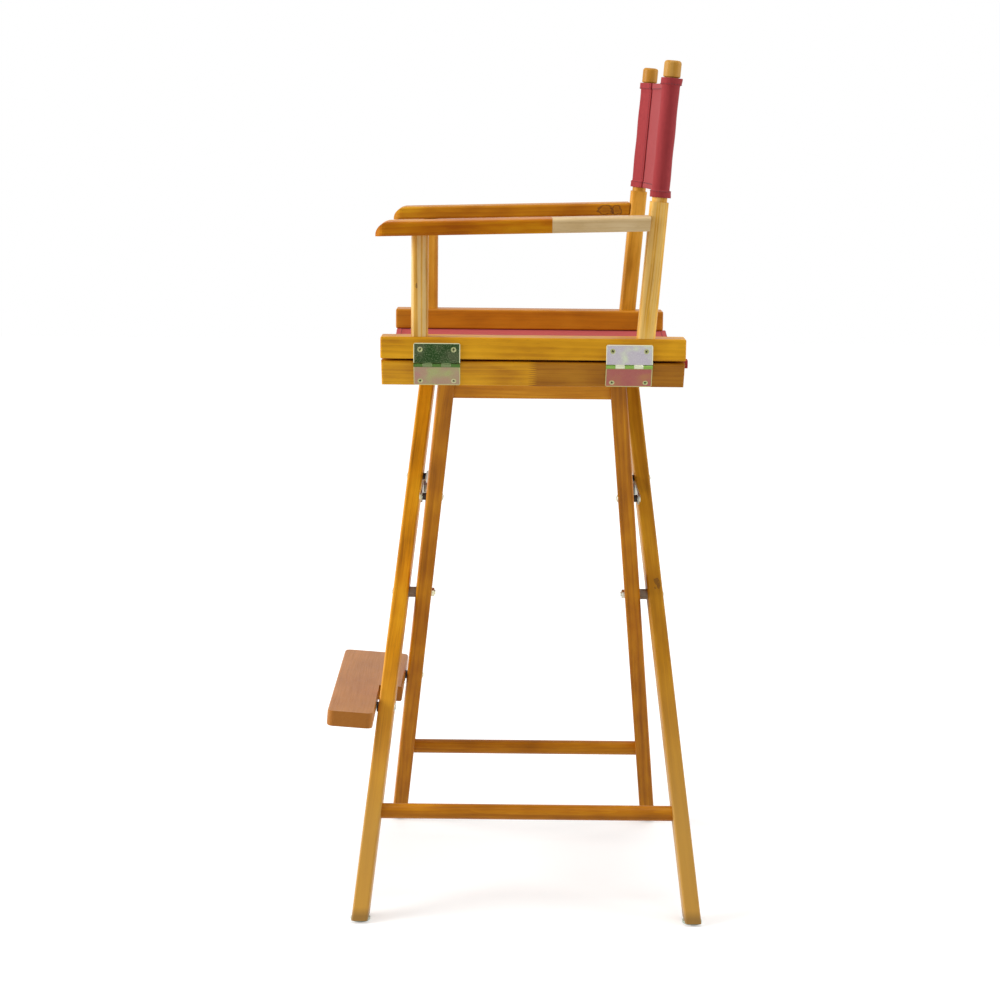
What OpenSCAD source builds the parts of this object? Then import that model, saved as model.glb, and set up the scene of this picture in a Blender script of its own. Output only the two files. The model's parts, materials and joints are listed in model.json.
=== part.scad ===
// Folding bar-height director's chair: two crossed leg frames, hinged arm frames,
// a canvas seat and back, and a lift-up footrest. Millimetres, +Z up, the sitter faces -Y.
// The outer leg frame stands with its feet on the +X side and carries the rail on the -X side.
// The inner leg frame is its mirror image, set between the outer legs.

/* [Leg frames] */
// Height of the crossing bolts above the floor
pivot_height = 408; // [395:1:420]
// Lean of each leg frame from upright when the chair is open, degrees
frame_lean = 30.1; // [29:0.1:31]
// Splay of the legs within their frame, degrees
leg_splay = 5.4; // [4.6:0.1:6]
// Half spread of the outer legs at the crossing bolts
outer_spread = 182; // [176:1:190]
// Leg stock thickness, front to back
leg_width = 22; // [20:0.5:24]
// Leg stock depth, across the frame
leg_depth = 32; // [28:0.5:36]
// Gap between an outer leg and the inner leg beside it
leg_gap = 10; // [9.5:0.1:12]
// Rounding of the leg edges
leg_round = 3.2; // [1:0.1:5]
// Diameter of the round stretchers
stretcher_d = 21; // [16:0.5:24]
// Distance of a stretcher below the crossing bolts, along the frame
stretcher_drop = 320; // [290:1:340]
// Drop of the inner frame's stretcher below the pivot, along the leg
inner_stretcher_drop = 315; // [290:1:340]
// Depth that a stretcher goes into a leg
stretcher_seat = 14; // [8:0.5:16]

/* [Seat rails] */
// Length of the seat rails
seat_rail_length = 398; // [380:1:420]
// Height of the seat rail tops above the floor
seat_rail_top = 766; // [755:1:775]
// How far the outer face of a seat rail stands out from the middle of its legs
rail_offset = 28.1; // [26:0.1:30]
// Height of the outer face of a seat rail, along the frame
seat_rail_face = 40; // [36:0.5:44]
// Thickness of a seat rail, across the frame
seat_rail_thick = 35; // [32:0.5:37]
// Rounding of the rail edges
rail_round = 2.6; // [1:0.1:4]
// Height of the cross rail under a seat rail
cross_rail_height = 33; // [24:1:40]
// Thickness of the cross rail
cross_rail_thick = 20; // [14:0.5:22]

/* [Arms] */
// How much longer the arm rails are than the seat rails
arm_rail_extra = 2; // [0:0.5:10]
// Width of the arm rails, side to side
arm_rail_width = 40; // [36:0.5:44]
// Height of the arm rails
arm_rail_height = 29; // [26:0.5:34]
// Gap between an arm rail and the seat rail, where the seat cloth passes
rail_gap = 2.7; // [2.4:0.1:4]
// Distance from the rear end of the arm rail to the middle of the rear post
rear_post_end = 52.5; // [45:0.5:60]
// Backward lean of the rear posts, degrees
rear_post_lean = 4.5; // [2:0.1:6]
// Width of the rear posts below their shoulder
rear_post_width = 24; // [20:0.5:26]
// Distance from the front end of the arm rail to the middle of the front post
front_post_end = 51; // [40:1:60]
// Width of the front posts
front_post_width = 22; // [18:0.5:26]
// Inset of the posts from the outer face of the arm rail, to the post centre
post_inset = 13; // [12:0.5:20]
// Diameter of the rear post above its shoulder, inside the back cloth
neck_d = 20; // [16:0.5:22]
// Height of the shoulder of a rear post above the floor
shoulder_height = 975; // [965:1:982]
// Diameter of the knob on a rear post
knob_d = 22.4; // [21:0.2:26]
// Height of the knob
knob_height = 21.5; // [16:0.5:26]
// Overall height of the chair, at the knobs
overall_height = 1156; // [1135:1:1180]
// Diameter of the round tenons on the posts
tenon_d = 14; // [10:0.5:16]
// Length of the round tenons on the posts
tenon_length = 12; // [6:0.5:14]

/* [Armrests] */
// Width of an armrest
armrest_width = 66; // [58:1:74]
// Thickness of an armrest
armrest_thick = 18.5; // [15:0.5:21]
// How far an armrest stands out past the arm rail under it
armrest_overhang = 42; // [34:1:48]
// How far the armrest nose stands out past the front end of the arm rail
nose_reach = 5; // [0:1:15]
// Height of the armrest underside at its nose
armrest_height = 929.4; // [915:0.2:935]
// Rise of the armrest towards the rear, degrees
armrest_rise = 1.6; // [0:0.1:2.5]
// Length of the rounding of the nose
nose_length = 20; // [10:1:30]
// Corner radius of the nose, seen from above
nose_corner = 13; // [6:1:20]

/* [Hinges] */
// Length of a butt hinge
hinge_length = 61; // [50:1:70]
// Distance of the hinge centres from the ends of the arm rail
hinge_end = 74; // [60:1:90]
// Thickness of a hinge leaf
leaf_thick = 1.6; // [1.2:0.1:2]
// Height of the leaf on the arm rail, above the pin
upper_leaf = 29; // [26:0.5:32]
// Height of the leaf on the seat rail, below the pin
lower_leaf = 33; // [30:0.5:34]
// Outer diameter of the knuckles
knuckle_d = 5.2; // [5:0.1:6]
// Diameter of the hinge pin
pin_d = 2.6; // [2:0.1:3]
// Head diameter of the countersunk leaf screws
leaf_screw_head = 7; // [6:0.1:8]
// Distance of the screws from the hinge centre
leaf_screw_y = 22; // [18:0.5:24]

/* [Bolts and braces] */
// Shank diameter of the crossing bolts
pivot_bolt_d = 7; // [6:0.5:8]
// Head diameter of the dome-headed bolts
bolt_head_d = 12.5; // [11:0.5:14]
// Height of a dome head
bolt_head_h = 3; // [2:0.1:3.6]
// Diameter of the spacers on the crossing bolts
pivot_spacer_d = 15; // [12:0.5:18]
// Distance of the brace bolts above the crossing bolts, along the leg
brace_rise = 178; // [160:1:190]
// Shank diameter of the brace bolts
brace_bolt_d = 6; // [5:0.5:7]
// Diameter of the spacers on the brace bolts
brace_spacer_d = 10; // [9:0.5:11]
// Width of a brace strip
strip_width = 17; // [15:0.5:18]
// Thickness of a brace strip
strip_thick = 2; // [1.5:0.1:2.2]
// Length of a strip past its middle rivet
strip_tail = 15; // [10:0.5:18]
// Lean of each leg frame from upright when the chair is folded, degrees
folded_lean = 2.6; // [2.4:0.1:6]

/* [Footrest] */
// Length of the footrest plank
footrest_length = 366; // [340:1:380]
// How far the plank's middle stands to the sitter's left
footrest_shift = 3; // [0:1:8]
// Thickness of the footrest plank
footrest_thick = 21.5; // [18:0.5:23]
// Reach of the plank's front edge forward of the middle of the chair
footrest_front = 276; // [262:1:285]
// Height of the footrest bolt above the floor
footrest_height = 260; // [256:1:266]
// The plank's middle above its bolt
plank_over_bolt = 5.3; // [4:0.1:6]
// Height of the peg in the inner front leg
peg_height = 266; // [264:1:268]
// Slope of the plank, up towards its front, degrees
footrest_slope = 4; // [0:0.1:5]
// Corner radius of the plank
footrest_corner = 10; // [4:1:16]
// Shank diameter of the footrest bolt
footrest_bolt_d = 6; // [5:0.5:7]
// Diameter of the sleeve on the peg that holds the far end
peg_d = 12; // [10:0.5:13]

/* [Feet] */
// Diameter of the floor glides
glide_d = 27; // [22:1:28]
// Thickness of the floor glides
glide_thick = 4; // [3:0.5:6]

/* [Cloth] */
// Thickness of the canvas, doubled at the hems
canvas_thick = 1.5; // [1:0.1:1.8]
// Sag of the seat cloth in its middle
seat_sag = 12; // [4:1:25]
// Reach of the seat cloth behind the rails
seat_overhang = 5; // [0:0.5:8]
// Diameter of the rods in the seat hems
rod_d = 5; // [4:0.5:6]
// Height of the back cloth
back_height = 153; // [140:1:156]
// From a rear post's middle to the seam of its sleeve
seam_inset = 23; // [18:0.5:30]
// How far the seams lie behind the posts' middles
seam_back = 4; // [0:0.5:7]
// How far the back cloth curves rearward between its seams
back_billow = 5; // [0:0.5:15]
// Clearance of the back sleeves over the neck of a post
sleeve_clear = 0.4; // [0.3:0.1:1]

/* [Hidden] */
$fn = 48;
hair = 0.05;              // radial clearance of a turning fit
face_clear = 0.1;         // side clearance of a turning fit
slack = 0.4;              // clearance between moving faces
over = 1;                 // how far a cut runs past a face
big = 1500;               // larger than the chair
arc_steps = 6;            // straight pieces in a rounded corner

lean_s = sin(frame_lean);
lean_c = cos(frame_lean);
splay_t = tan(leg_splay);
leg_span = leg_width / cos(leg_splay);            // leg thickness measured along Y
inner_spread = outer_spread - leg_span - leg_gap;
// Spot faces let heads and spacers seat square on the splayed leg sides.
spot_spacer = (pivot_spacer_d / 2 + 0.5) * splay_t;
spot_head = (bolt_head_d / 2 + 0.5) * splay_t;

// Seat rail corners in its frame: w across the frame, s up along it.
rail_top_rise = seat_rail_top - pivot_height;
rail_w_out = rail_offset;
rail_reach = (rail_w_out + rail_top_rise * lean_s) / lean_c;   // half width over the rails
rail_s_out = rail_reach * lean_s + rail_top_rise * lean_c;
rail_w_in = rail_w_out - seat_rail_thick;
rail_s_in = (rail_top_rise + rail_w_in * lean_s) / lean_c;
rail_s_low = rail_s_out - seat_rail_face;
leg_tenon_w = 14;                                  // tenon of a leg in the seat rail
leg_tenon_y = 14;
leg_tenon_h = 12;
leg_tenon_at = min(leg_depth / 2, rail_w_out) - leg_tenon_w - 3;
cross_tongue_w = 8;                                // tongue of a cross rail in a leg
cross_tongue_h = cross_rail_height - 8;
cross_tongue_in = 10;
cross_s_high = rail_s_low - 0.5;
cross_s_low = cross_s_high - cross_rail_height;

// Groove in the seat rail top for the hem and its rod.
groove_w = rod_d + 2 * canvas_thick + 1.4;
groove_x = rail_reach - 0.62 * arm_rail_width;
groove_depth = groove_w;
rod_z = seat_rail_top - groove_depth + groove_w / 2;

arm_rail_length = seat_rail_length + arm_rail_extra;
rear_post_y = arm_rail_length / 2 - rear_post_end;
front_post_y = arm_rail_length / 2 - front_post_end;
hinge_y = arm_rail_length / 2 - hinge_end;
armrest_nose = arm_rail_length / 2 + nose_reach;
armrest_reach = rail_reach + armrest_overhang;
arm_rail_low = seat_rail_top + rail_gap;
arm_rail_high = arm_rail_low + arm_rail_height;
post_x = rail_reach - post_inset;
post_round = 6;

// Hinge pin line, seen in the seat rail's frame.
pin_w = rail_w_out + knuckle_d / 2 + 0.2;
pin_s = rail_s_out - 4.3;
pin_x = pin_s * lean_s + pin_w * lean_c;
pin_z = pivot_height + pin_s * lean_c - pin_w * lean_s;
knuckles = 5;
knuckle_l = hinge_length / knuckles;
knuckle_gap = 0.25;
leaf_corner = 2.5;
leaf_screw_d = 3.5;
leaf_screw_l = 14;
leaf_screw_up = upper_leaf - 8.5;
leaf_screw_down = lower_leaf - 6.5;

// Brace strips: level and straight when open, and upright in the gap between the legs
// when folded. Turning from one place to the other needs a bolt that leans a little.
strip_length = brace_rise * lean_s;
strip_layers = 2 * strip_thick + slack;
strip_edge = (leg_gap - strip_layers) / 2;         // from a leg to the strip next to it
brace_y = outer_spread - brace_rise * splay_t - leg_span / 2 - leg_gap / 2;   // gap middle
strip_mid = (strip_thick + slack) / 2;             // from the gap middle to a strip's middle
brace_play = 0.45;                                 // end play of a strip on its bolt
brace_head_h = 1.5;
strip_turn = acos(sin(folded_lean) / lean_s) + frame_lean - folded_lean;
leg_up = [lean_s, 0, lean_c];                      // an inner leg frame's own upward line
side_face = [0, 1, 0] * cos(leg_splay) - leg_up * sin(leg_splay);
turned_flat = [-cos(strip_turn), 0, sin(strip_turn)];
turned_raw = turned_flat - [0, 1, 0] * (turned_flat * side_face) / side_face[1];
turned = turned_raw / norm(turned_raw);
bolt_raw = cross([-1, 0, 0], turned) + cross([0, 1, 0], side_face)
    + cross([0, 0, -1], cross(turned, side_face));
bolt_line = bolt_raw / norm(bolt_raw);
bolt_tilt_x = asin(bolt_line[2]);
bolt_tilt_z = atan2(-bolt_line[0], bolt_line[1]);
rivet_d = 10;
rivet_h = 1.6;

// Footrest: the bolt runs front to back through the outer front leg.
foot_bolt_s = (pivot_height - footrest_height) / lean_c;
foot_bolt_x = foot_bolt_s * lean_s;
foot_leg_face = outer_spread + foot_bolt_s * splay_t + leg_span / 2;
ear_y = foot_leg_face + 4;                         // back of the plank beside the outer leg
foot_inner_face = inner_spread + foot_bolt_s * splay_t + leg_span / 2;
plank_back = foot_inner_face + 2.4;                // back of the plank beside the inner leg
notch_x = foot_bolt_x - 61;
washer_d = 14;
washer_seat = foot_leg_face - (washer_d / 2 + 0.5) * splay_t;
peg_s = (pivot_height - peg_height) / lean_c;
peg_length = leg_gap - 0.8;
peg_inner_face = inner_spread + peg_s * splay_t + leg_span / 2;
peg_bolt_d = 5;
peg_path_steps = 18;
peg_path_turn = 1.2;      // degrees from one cut of the peg's path to the next
plank_edge = 3;
bolt_in_plank = 30;
notch_corner = footrest_corner - 1;   // the plank's corner beside its notch

// Floor contact of a leg centre line.
foot_s = (pivot_height - glide_thick) / lean_c;
foot_x = foot_s * lean_s;
outer_foot_y = outer_spread + foot_s * splay_t;
inner_foot_y = inner_spread + foot_s * splay_t;
nail_d = 4;
nail_l = 14;

// Rear post: distances up its own leaning axis, from the arm rail top.
post_lean_c = cos(rear_post_lean);
shoulder_up = (shoulder_height - arm_rail_high) / post_lean_c;
knob_edge = 4;
post_top_up = (overall_height - arm_rail_high) / post_lean_c - knob_edge * tan(rear_post_lean);
knob_low_up = post_top_up - knob_height;
neck_taper = 2;            // below the knob the neck thins over this length
knob_ease = 1;             // chamfer under the knob
knob_neck_d = 18;
armrest_mid_rise = armrest_height + armrest_thick / 2 - arm_rail_high;
armrest_end = rear_post_y - rear_post_width / 2 / post_lean_c;
armrest_x = armrest_reach - armrest_width / 2;
front_top = armrest_height + (armrest_nose - front_post_y) * tan(armrest_rise);
dowel_d = 8;
dowel_l = 12;
armrest_edge = 4;

// Back cloth: two sleeves and the sheet between them.
sleeve_low_up = shoulder_up + 6;
sleeve_in = neck_d / 2 + sleeve_clear;
sleeve_out = sleeve_in + canvas_thick;
sleeve_tuck = 0.5;                                     // the flat sides meet the circle at a bend
seam_x = post_x - seam_inset + 2 * canvas_thick;       // the panel ends inside the sleeves' seams

// Seat cloth, its path across the chair at its underside.
seat_cloth_z = seat_rail_top + (rail_gap - canvas_thick) / 2;
pocket_in = rod_d / 2 + 0.1;
pocket_out = pocket_in + canvas_thick;
sag_steps = 12;
cloth_edge_x = rail_reach - arm_rail_width + 4;

// The origin is on the floor under the middle of the whole chair.
plank_tip = ear_y + (footrest_front - ear_y) * cos(footrest_slope)
    + (footrest_thick / 2 - plank_over_bolt) * sin(footrest_slope);
y_shift = (plank_tip - outer_foot_y - glide_d / 2) / 2;

wood = [0.78, 0.52, 0.12];
wood_dark = [0.65, 0.40, 0.14];
cloth_red = [0.72, 0.26, 0.26];
zinc = [0.72, 0.70, 0.60];
nylon = [0.12, 0.12, 0.12];
glide_white = [0.85, 0.86, 0.82];

// ---- helpers ----

// Points of a polygon with each corner rounded to radius r.
function round_corner(a, b, c, r) =
    let (u = (a - b) / norm(a - b), v = (c - b) / norm(c - b),
        half = acos(u * v) / 2, d = r / tan(half),
        m = (u + v) / norm(u + v), mid = b + m * r / sin(half),
        p = b + u * d - mid, q = b + v * d - mid,
        a0 = atan2(p[1], p[0]), turn = atan2(p[0] * q[1] - p[1] * q[0], p * q))
    [for (i = [0:arc_steps]) mid + r * [cos(a0 + turn * i / arc_steps),
        sin(a0 + turn * i / arc_steps)]];
function rounded(pts, r) = let (n = len(pts))
    [for (i = [0:n - 1]) each round_corner(pts[(i + n - 1) % n], pts[i], pts[(i + 1) % n], r)];
function box_points(x0, x1, y0, y1) = [[x0, y0], [x1, y0], [x1, y1], [x0, y1]];

// Prisms from points in the XZ, YZ and XY planes.
module prism_y(pts, y0, y1)
    translate([0, y1, 0]) rotate([90, 0, 0]) linear_extrude(y1 - y0) polygon(pts);
module prism_x(pts, x0, x1)
    translate([x0, 0, 0]) rotate([90, 0, 90]) linear_extrude(x1 - x0) polygon(pts);
module prism_z(pts, z0, z1)
    translate([0, 0, z0]) linear_extrude(z1 - z0) polygon(pts);

// A round bar along +Y from y0 to y1, at x and z.
module bar_y(d, x, z, y0, y1)
    translate([x, y1, z]) rotate([90, 0, 0]) cylinder(d = d, h = y1 - y0);

// A box with all its edges rounded.
module soft_box(x0, x1, y0, y1, z0, z1, r)
    intersection() {
        prism_z(rounded(box_points(x0, x1, y0, y1), r), z0, z1);
        prism_y(rounded(box_points(x0, x1, z0, z1), r), y0, y1);
        prism_x(rounded(box_points(y0, y1, z0, z1), r), x0, x1);
    }

// Sets a leg frame in place: side 1 is the inner frame, side -1 the outer one.
module in_frame(side)
    mirror([side < 0 ? 1 : 0, 0, 0])
        translate([0, y_shift, pivot_height]) rotate([0, frame_lean, 0]) children();
// Sets an arm frame in place: side 1 is the sitter's left, side -1 the right.
module on_side(side)
    mirror([side < 0 ? 1 : 0, 0, 0]) translate([0, y_shift, 0]) children();
// Front as it is, or mirrored to the rear.
module at_end(end) mirror([0, end > 0 ? 1 : 0, 0]) children();

// A dome head facing -Y, its flat on the plane y.
module dome(d, h, x, y, z) {
    ball = (d * d / 4 + h * h) / (2 * h);
    translate([x, y, z]) rotate([90, 0, 0]) intersection() {
        translate([0, 0, h - ball]) sphere(r = ball);
        cylinder(d = d, h = h);
    }
}
// A hexagon nut along Y from y0 to y1.
module hex_y(across, x, z, y0, y1)
    translate([x, y1, z]) rotate([90, 0, 0]) cylinder(d = across / cos(30), h = y1 - y0, $fn = 6);

// ---- leg frames ----

// How far a leg's centre line is from the middle, at s along the frame.
function leg_y(spread, s) = spread - s * splay_t;

module leg_tenon(spread)
    translate([leg_tenon_at, -leg_y(spread, rail_s_low) - leg_tenon_y / 2, rail_s_low - over])
        cube([leg_tenon_w, leg_tenon_y, leg_tenon_h + over]);

module cross_tongue(spread) {
    reach = leg_y(spread, cross_s_high) - leg_span / 2 + cross_tongue_in;
    translate([-cross_tongue_w / 2, -reach, (cross_s_low + cross_s_high - cross_tongue_h) / 2])
        cube([cross_tongue_w, 2 * reach, cross_tongue_h]);
}

module stretcher_bar(spread) {
    drop = spread == outer_spread ? stretcher_drop : inner_stretcher_drop;
    reach = leg_y(spread, -drop) - leg_span / 2 + stretcher_seat;
    bar_y(stretcher_d, 0, -drop, -reach, reach);
}

// Stock of a front leg in its frame, from below the floor to the seat rail.
module leg_stock(spread)
    intersection() {
        translate([0, -spread, 0]) rotate([-leg_splay, 0, 0])
            prism_z(rounded(box_points(-leg_depth / 2, leg_depth / 2,
                -leg_width / 2, leg_width / 2), leg_round), -foot_s - leg_depth, rail_s_out);
        translate([-big / 2, -big / 2, rail_s_low - big]) cube(big);
    }

// A front leg of either frame, with the bores that both frames share.
module front_leg(side, spread)
    difference() {
        in_frame(side) difference() {
            union() {
                leg_stock(spread);
                leg_tenon(spread);
            }
            cross_tongue(spread);
            stretcher_bar(spread);
        }
        translate([-big / 2, -big / 2, glide_thick - big]) cube(big);
        glide_nail(side, spread, -1);
    }

// Spot faces and bore along Y through a front leg at s: y_out and y_in are how deep
// the square faces lie on the leg's outer and inner sides.
module leg_bore(spread, s, d, out_d, in_d) {
    mid = leg_y(spread, s);
    out_face = mid + leg_span / 2 - (out_d / 2 + 0.5) * splay_t;
    in_face = mid - leg_span / 2 + (in_d / 2 + 0.5) * splay_t;
    bar_y(d, 0, s, -mid - leg_span, -mid + leg_span);
    if (out_d > 0) bar_y(out_d + 1, 0, s, -mid - leg_span, -out_face);
    if (in_d > 0) bar_y(in_d + 1, 0, s, -in_face, -mid + leg_span);
}

module outer_leg(end) color(wood)
    difference() {
        at_end_shifted(end) front_leg(-1, outer_spread);
        in_frame(-1) at_end(end) {
            leg_bore(outer_spread, 0, pivot_bolt_d, bolt_head_d, pivot_spacer_d);
            if (end < 0)
                leg_bore(outer_spread, -foot_bolt_s, footrest_bolt_d, washer_d, bolt_head_d);
        }
        brace_bore(-1, end);
    }

module inner_leg(end) color(wood_dark)
    difference() {
        at_end_shifted(end) front_leg(1, inner_spread);
        in_frame(1) at_end(end) {
            leg_bore(inner_spread, 0, pivot_bolt_d + 2 * hair, pivot_spacer_d, bolt_head_d);
            if (end < 0)
                leg_bore(inner_spread, -peg_s, peg_bolt_d, peg_d, bolt_head_d);
        }
        brace_bore(1, end);
    }

// Mirrors front to rear about the middle of the leg frames.
module at_end_shifted(end)
    translate([0, y_shift, 0]) at_end(end) translate([0, -y_shift, 0]) children();

module glide_nail(side, spread, end)
    at_end_shifted(end) on_side(-side)
        translate([foot_x, -(spread + foot_s * splay_t), glide_thick - over])
            cylinder(d = nail_d, h = nail_l + over);

module glides(side, spread) color(glide_white)
    for (end = [-1, 1]) {
        at_end_shifted(end) on_side(-side)
            translate([foot_x, -(spread + foot_s * splay_t), 0]) rotate_extrude()
                polygon([[0, 0], [glide_d / 2 - 1.5, 0], [glide_d / 2, 1.2],
                    [glide_d / 2, glide_thick - 0.5], [glide_d / 2 - 0.5, glide_thick],
                    [0, glide_thick]]);
        glide_nail(side, spread, end);
    }

// Seat rail profile in its frame, bottom square to the legs and top level.
module seat_rail(side, spread)
    difference() {
        in_frame(side) difference() {
            intersection() {
                prism_y(rounded([[rail_w_out, rail_s_low], [rail_w_out, rail_s_out],
                    [rail_w_in, rail_s_in], [rail_w_in, rail_s_low]], rail_round),
                    -seat_rail_length / 2, seat_rail_length / 2);
                prism_z(rounded(box_points(rail_w_in - over, rail_w_out,
                    -seat_rail_length / 2, seat_rail_length / 2), rail_round),
                    rail_s_low, rail_s_out);
            }
            for (end = [-1, 1]) at_end(end) leg_tenon(spread);
        }
        on_side(side) {
            translate([groove_x - groove_w / 2, -seat_rail_length, rod_z])
                cube([groove_w, 2 * seat_rail_length, groove_depth]);
            bar_y(groove_w, groove_x, rod_z, -seat_rail_length, seat_rail_length);
        }
        leaf_screws_low(side);
    }

module cross_rail(side, spread)
    in_frame(side) {
        low = leg_y(spread, cross_s_low) - leg_span / 2;
        high = leg_y(spread, cross_s_high) - leg_span / 2;
        prism_x([[-low, cross_s_low], [low, cross_s_low], [high, cross_s_high],
            [-high, cross_s_high]], -cross_rail_thick / 2, cross_rail_thick / 2);
        cross_tongue(spread);
    }

module seat_rod(side) color(zinc) on_side(side)
    bar_y(rod_d, groove_x, rod_z, -seat_rail_length / 2 + 2, seat_rail_length / 2 - 1);

// ---- hinges ----

// Knuckles of one leaf along Y: every second one, starting with knuckle number first.
module knuckle_row(first, x, z)
    for (k = [first:2:knuckles - 1])
        bar_y(knuckle_d, x, z, -hinge_length / 2 + k * knuckle_l + knuckle_gap / 2,
            -hinge_length / 2 + (k + 1) * knuckle_l - knuckle_gap / 2);

// Room for the other leaf's knuckles.
module knuckle_room(first, x, z)
    for (k = [first:2:knuckles - 1])
        translate([x - knuckle_d, -hinge_length / 2 + k * knuckle_l - knuckle_gap / 2,
            z - knuckle_d / 2 - slack])
            cube([2 * knuckle_d, knuckle_l + knuckle_gap, knuckle_d + 2 * slack]);

// A countersunk screw along +X, its head flat at x.
module flat_screw(x, y, z)
    translate([x, y, z]) rotate([0, -90, 0]) {
        cylinder(d1 = leaf_screw_head, d2 = leaf_screw_d, h = leaf_thick);
        cylinder(d = leaf_screw_d, h = leaf_screw_l);
    }

module at_hinges() for (y = [-hinge_y, hinge_y]) translate([0, y, 0]) children();

module arm_leaf_screws(side) on_side(side) at_hinges()
    for (y = [-leaf_screw_y, leaf_screw_y])
        flat_screw(rail_reach + leaf_thick, y, pin_z + leaf_screw_up);

module leaf_screws_low(side) in_frame(side) at_hinges()
    for (y = [-leaf_screw_y, leaf_screw_y])
        flat_screw(rail_w_out + leaf_thick, y, pin_s - leaf_screw_down);

module arm_leaves(side) color(zinc)
    difference() {
        on_side(side) at_hinges() difference() {
            union() {
                difference() {
                    prism_x(rounded(box_points(-hinge_length / 2, hinge_length / 2,
                        pin_z, pin_z + upper_leaf), leaf_corner),
                        rail_reach, rail_reach + leaf_thick);
                    knuckle_room(0, pin_x, pin_z);
                }
                knuckle_row(1, pin_x, pin_z);
            }
            bar_y(pin_d + 2 * hair, pin_x, pin_z, -hinge_length, hinge_length);
        }
        arm_leaf_screws(side);
    }

module seat_leaves(side) color(zinc)
    difference() {
        in_frame(side) at_hinges() difference() {
            union() {
                difference() {
                    prism_x(rounded(box_points(-hinge_length / 2, hinge_length / 2,
                        pin_s - lower_leaf, pin_s), leaf_corner),
                        rail_w_out, rail_w_out + leaf_thick);
                    knuckle_room(1, pin_w, pin_s);
                }
                knuckle_row(0, pin_w, pin_s);
            }
            bar_y(pin_d, pin_w, pin_s, -hinge_length, hinge_length);
        }
        leaf_screws_low(side);
    }

module hinge_pins(side) color(zinc) in_frame(side) at_hinges()
    bar_y(pin_d, pin_w, pin_s, -hinge_length / 2, hinge_length / 2);

// ---- bolts, spacers and braces ----

// Place of the outer leg's faces and the inner leg's faces at a bolt on the outer leg.
outer_face_out = outer_spread + leg_span / 2;
outer_face_in = outer_spread - leg_span / 2;
inner_face_out = inner_spread + leg_span / 2;
inner_face_in = inner_spread - leg_span / 2;
nut_thick = 5;
nut_past = 1;

module pivot_bolt(end) in_frame(-1) at_end(end) {
    tip = inner_face_in - nut_thick - nut_past;
    bar_y(pivot_bolt_d, 0, 0, -outer_face_out + spot_head, -tip);
    dome(bolt_head_d, bolt_head_h, 0, -outer_face_out + spot_head, 0);
}
module pivot_spacer(end) in_frame(-1) at_end(end) difference() {
    bar_y(pivot_spacer_d, 0, 0, -outer_face_in - spot_spacer,
        -inner_face_out + spot_spacer - face_clear);
    bar_y(pivot_bolt_d, 0, 0, -big, big);
}
module pivot_nut(end) in_frame(-1) at_end(end) difference() {
    hex_y(bolt_head_d - 1.5, 0, 0, -inner_face_in - spot_head + face_clear,
        -inner_face_in - spot_head + face_clear + nut_thick);
    bar_y(pivot_bolt_d, 0, 0, -big, big);
}

// Sets +Y along a front brace bolt, turned away from its leg, with the origin in the
// middle of its strip. The bolt of the outer leg is the inner one's mirror image.
module on_brace_bolt(side, end) on_side(side) at_end(end)
    translate([strip_length, -brace_y + side * -strip_mid, pivot_height + brace_rise * lean_c])
        rotate([bolt_tilt_x, 0, bolt_tilt_z]) mirror([0, side > 0 ? 1 : 0, 0]) children();

// Along the bolt: where the leg's near side and far side are squared off.
brace_leg_near = -(leg_gap / 2 + strip_mid) - (brace_spacer_d / 2 + 0.5) * splay_t / 2;
brace_leg_far = -(leg_gap / 2 + strip_mid) - leg_span + spot_head / 2;

module brace_bore(side, end) on_brace_bolt(side, end) {
    bar_y(brace_bolt_d, 0, 0, brace_leg_far - leg_width, leg_gap);
    bar_y(brace_spacer_d + 1, 0, 0, brace_leg_near, strip_mid);
    bar_y(bolt_head_d + 1, 0, 0, brace_leg_far - leg_width, brace_leg_far);
}

// A brace bolt: a dome head on the far side of its leg, a shank through the leg,
// spacer and strip, and a low round head that keeps the strip on.
module brace_bolt(side, end) on_brace_bolt(side, end) {
    strip_far = strip_thick / 2 + brace_play;
    bar_y(brace_bolt_d, 0, 0, brace_leg_far, strip_far);
    bar_y(brace_spacer_d, 0, 0, strip_far, strip_far + brace_head_h);
    dome(bolt_head_d, bolt_head_h, 0, brace_leg_far, 0);
}
module brace_spacer(side, end) on_brace_bolt(side, end) difference() {
    bar_y(brace_spacer_d, 0, 0, brace_leg_near, -strip_thick / 2 - brace_play);
    bar_y(brace_bolt_d, 0, 0, -big, big);
}

// A strip lies level from its bolt to the middle of the chair when open.
module brace_strip(side, end) color(zinc)
    difference() {
        on_side(side) at_end(end) {
            mid = -brace_y - side * strip_mid;
            z = pivot_height + brace_rise * lean_c;
            low = mid - strip_thick / 2;
            head = side > 0 ? low - rivet_h : low + strip_thick;
            bar_y(strip_width, strip_length, z, low, low + strip_thick);
            bar_y(strip_width, strip_width / 2 - strip_tail, z, low, low + strip_thick);
            translate([strip_width / 2 - strip_tail, low, z - strip_width / 2])
                cube([strip_length + strip_tail - strip_width / 2, strip_thick, strip_width]);
            bar_y(rivet_d, 0, z, head, head + rivet_h);
        }
        on_brace_bolt(side, end) bar_y(brace_bolt_d + 2 * hair, 0, 0, -leg_gap, leg_gap);
    }

// ---- arm frames ----

module arm_rail(side) color(wood)
    difference() {
        on_side(side) difference() {
            soft_box(rail_reach - arm_rail_width, rail_reach, -arm_rail_length / 2,
                arm_rail_length / 2, arm_rail_low, arm_rail_high, rail_round);
            translate([post_x, -front_post_y, arm_rail_high - tenon_length])
                cylinder(d = tenon_d, h = tenon_length + over);
            post_axis() translate([0, 0, -tenon_length])
                cylinder(d = tenon_d, h = tenon_length + over);
        }
        arm_leaf_screws(side);
    }

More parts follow.
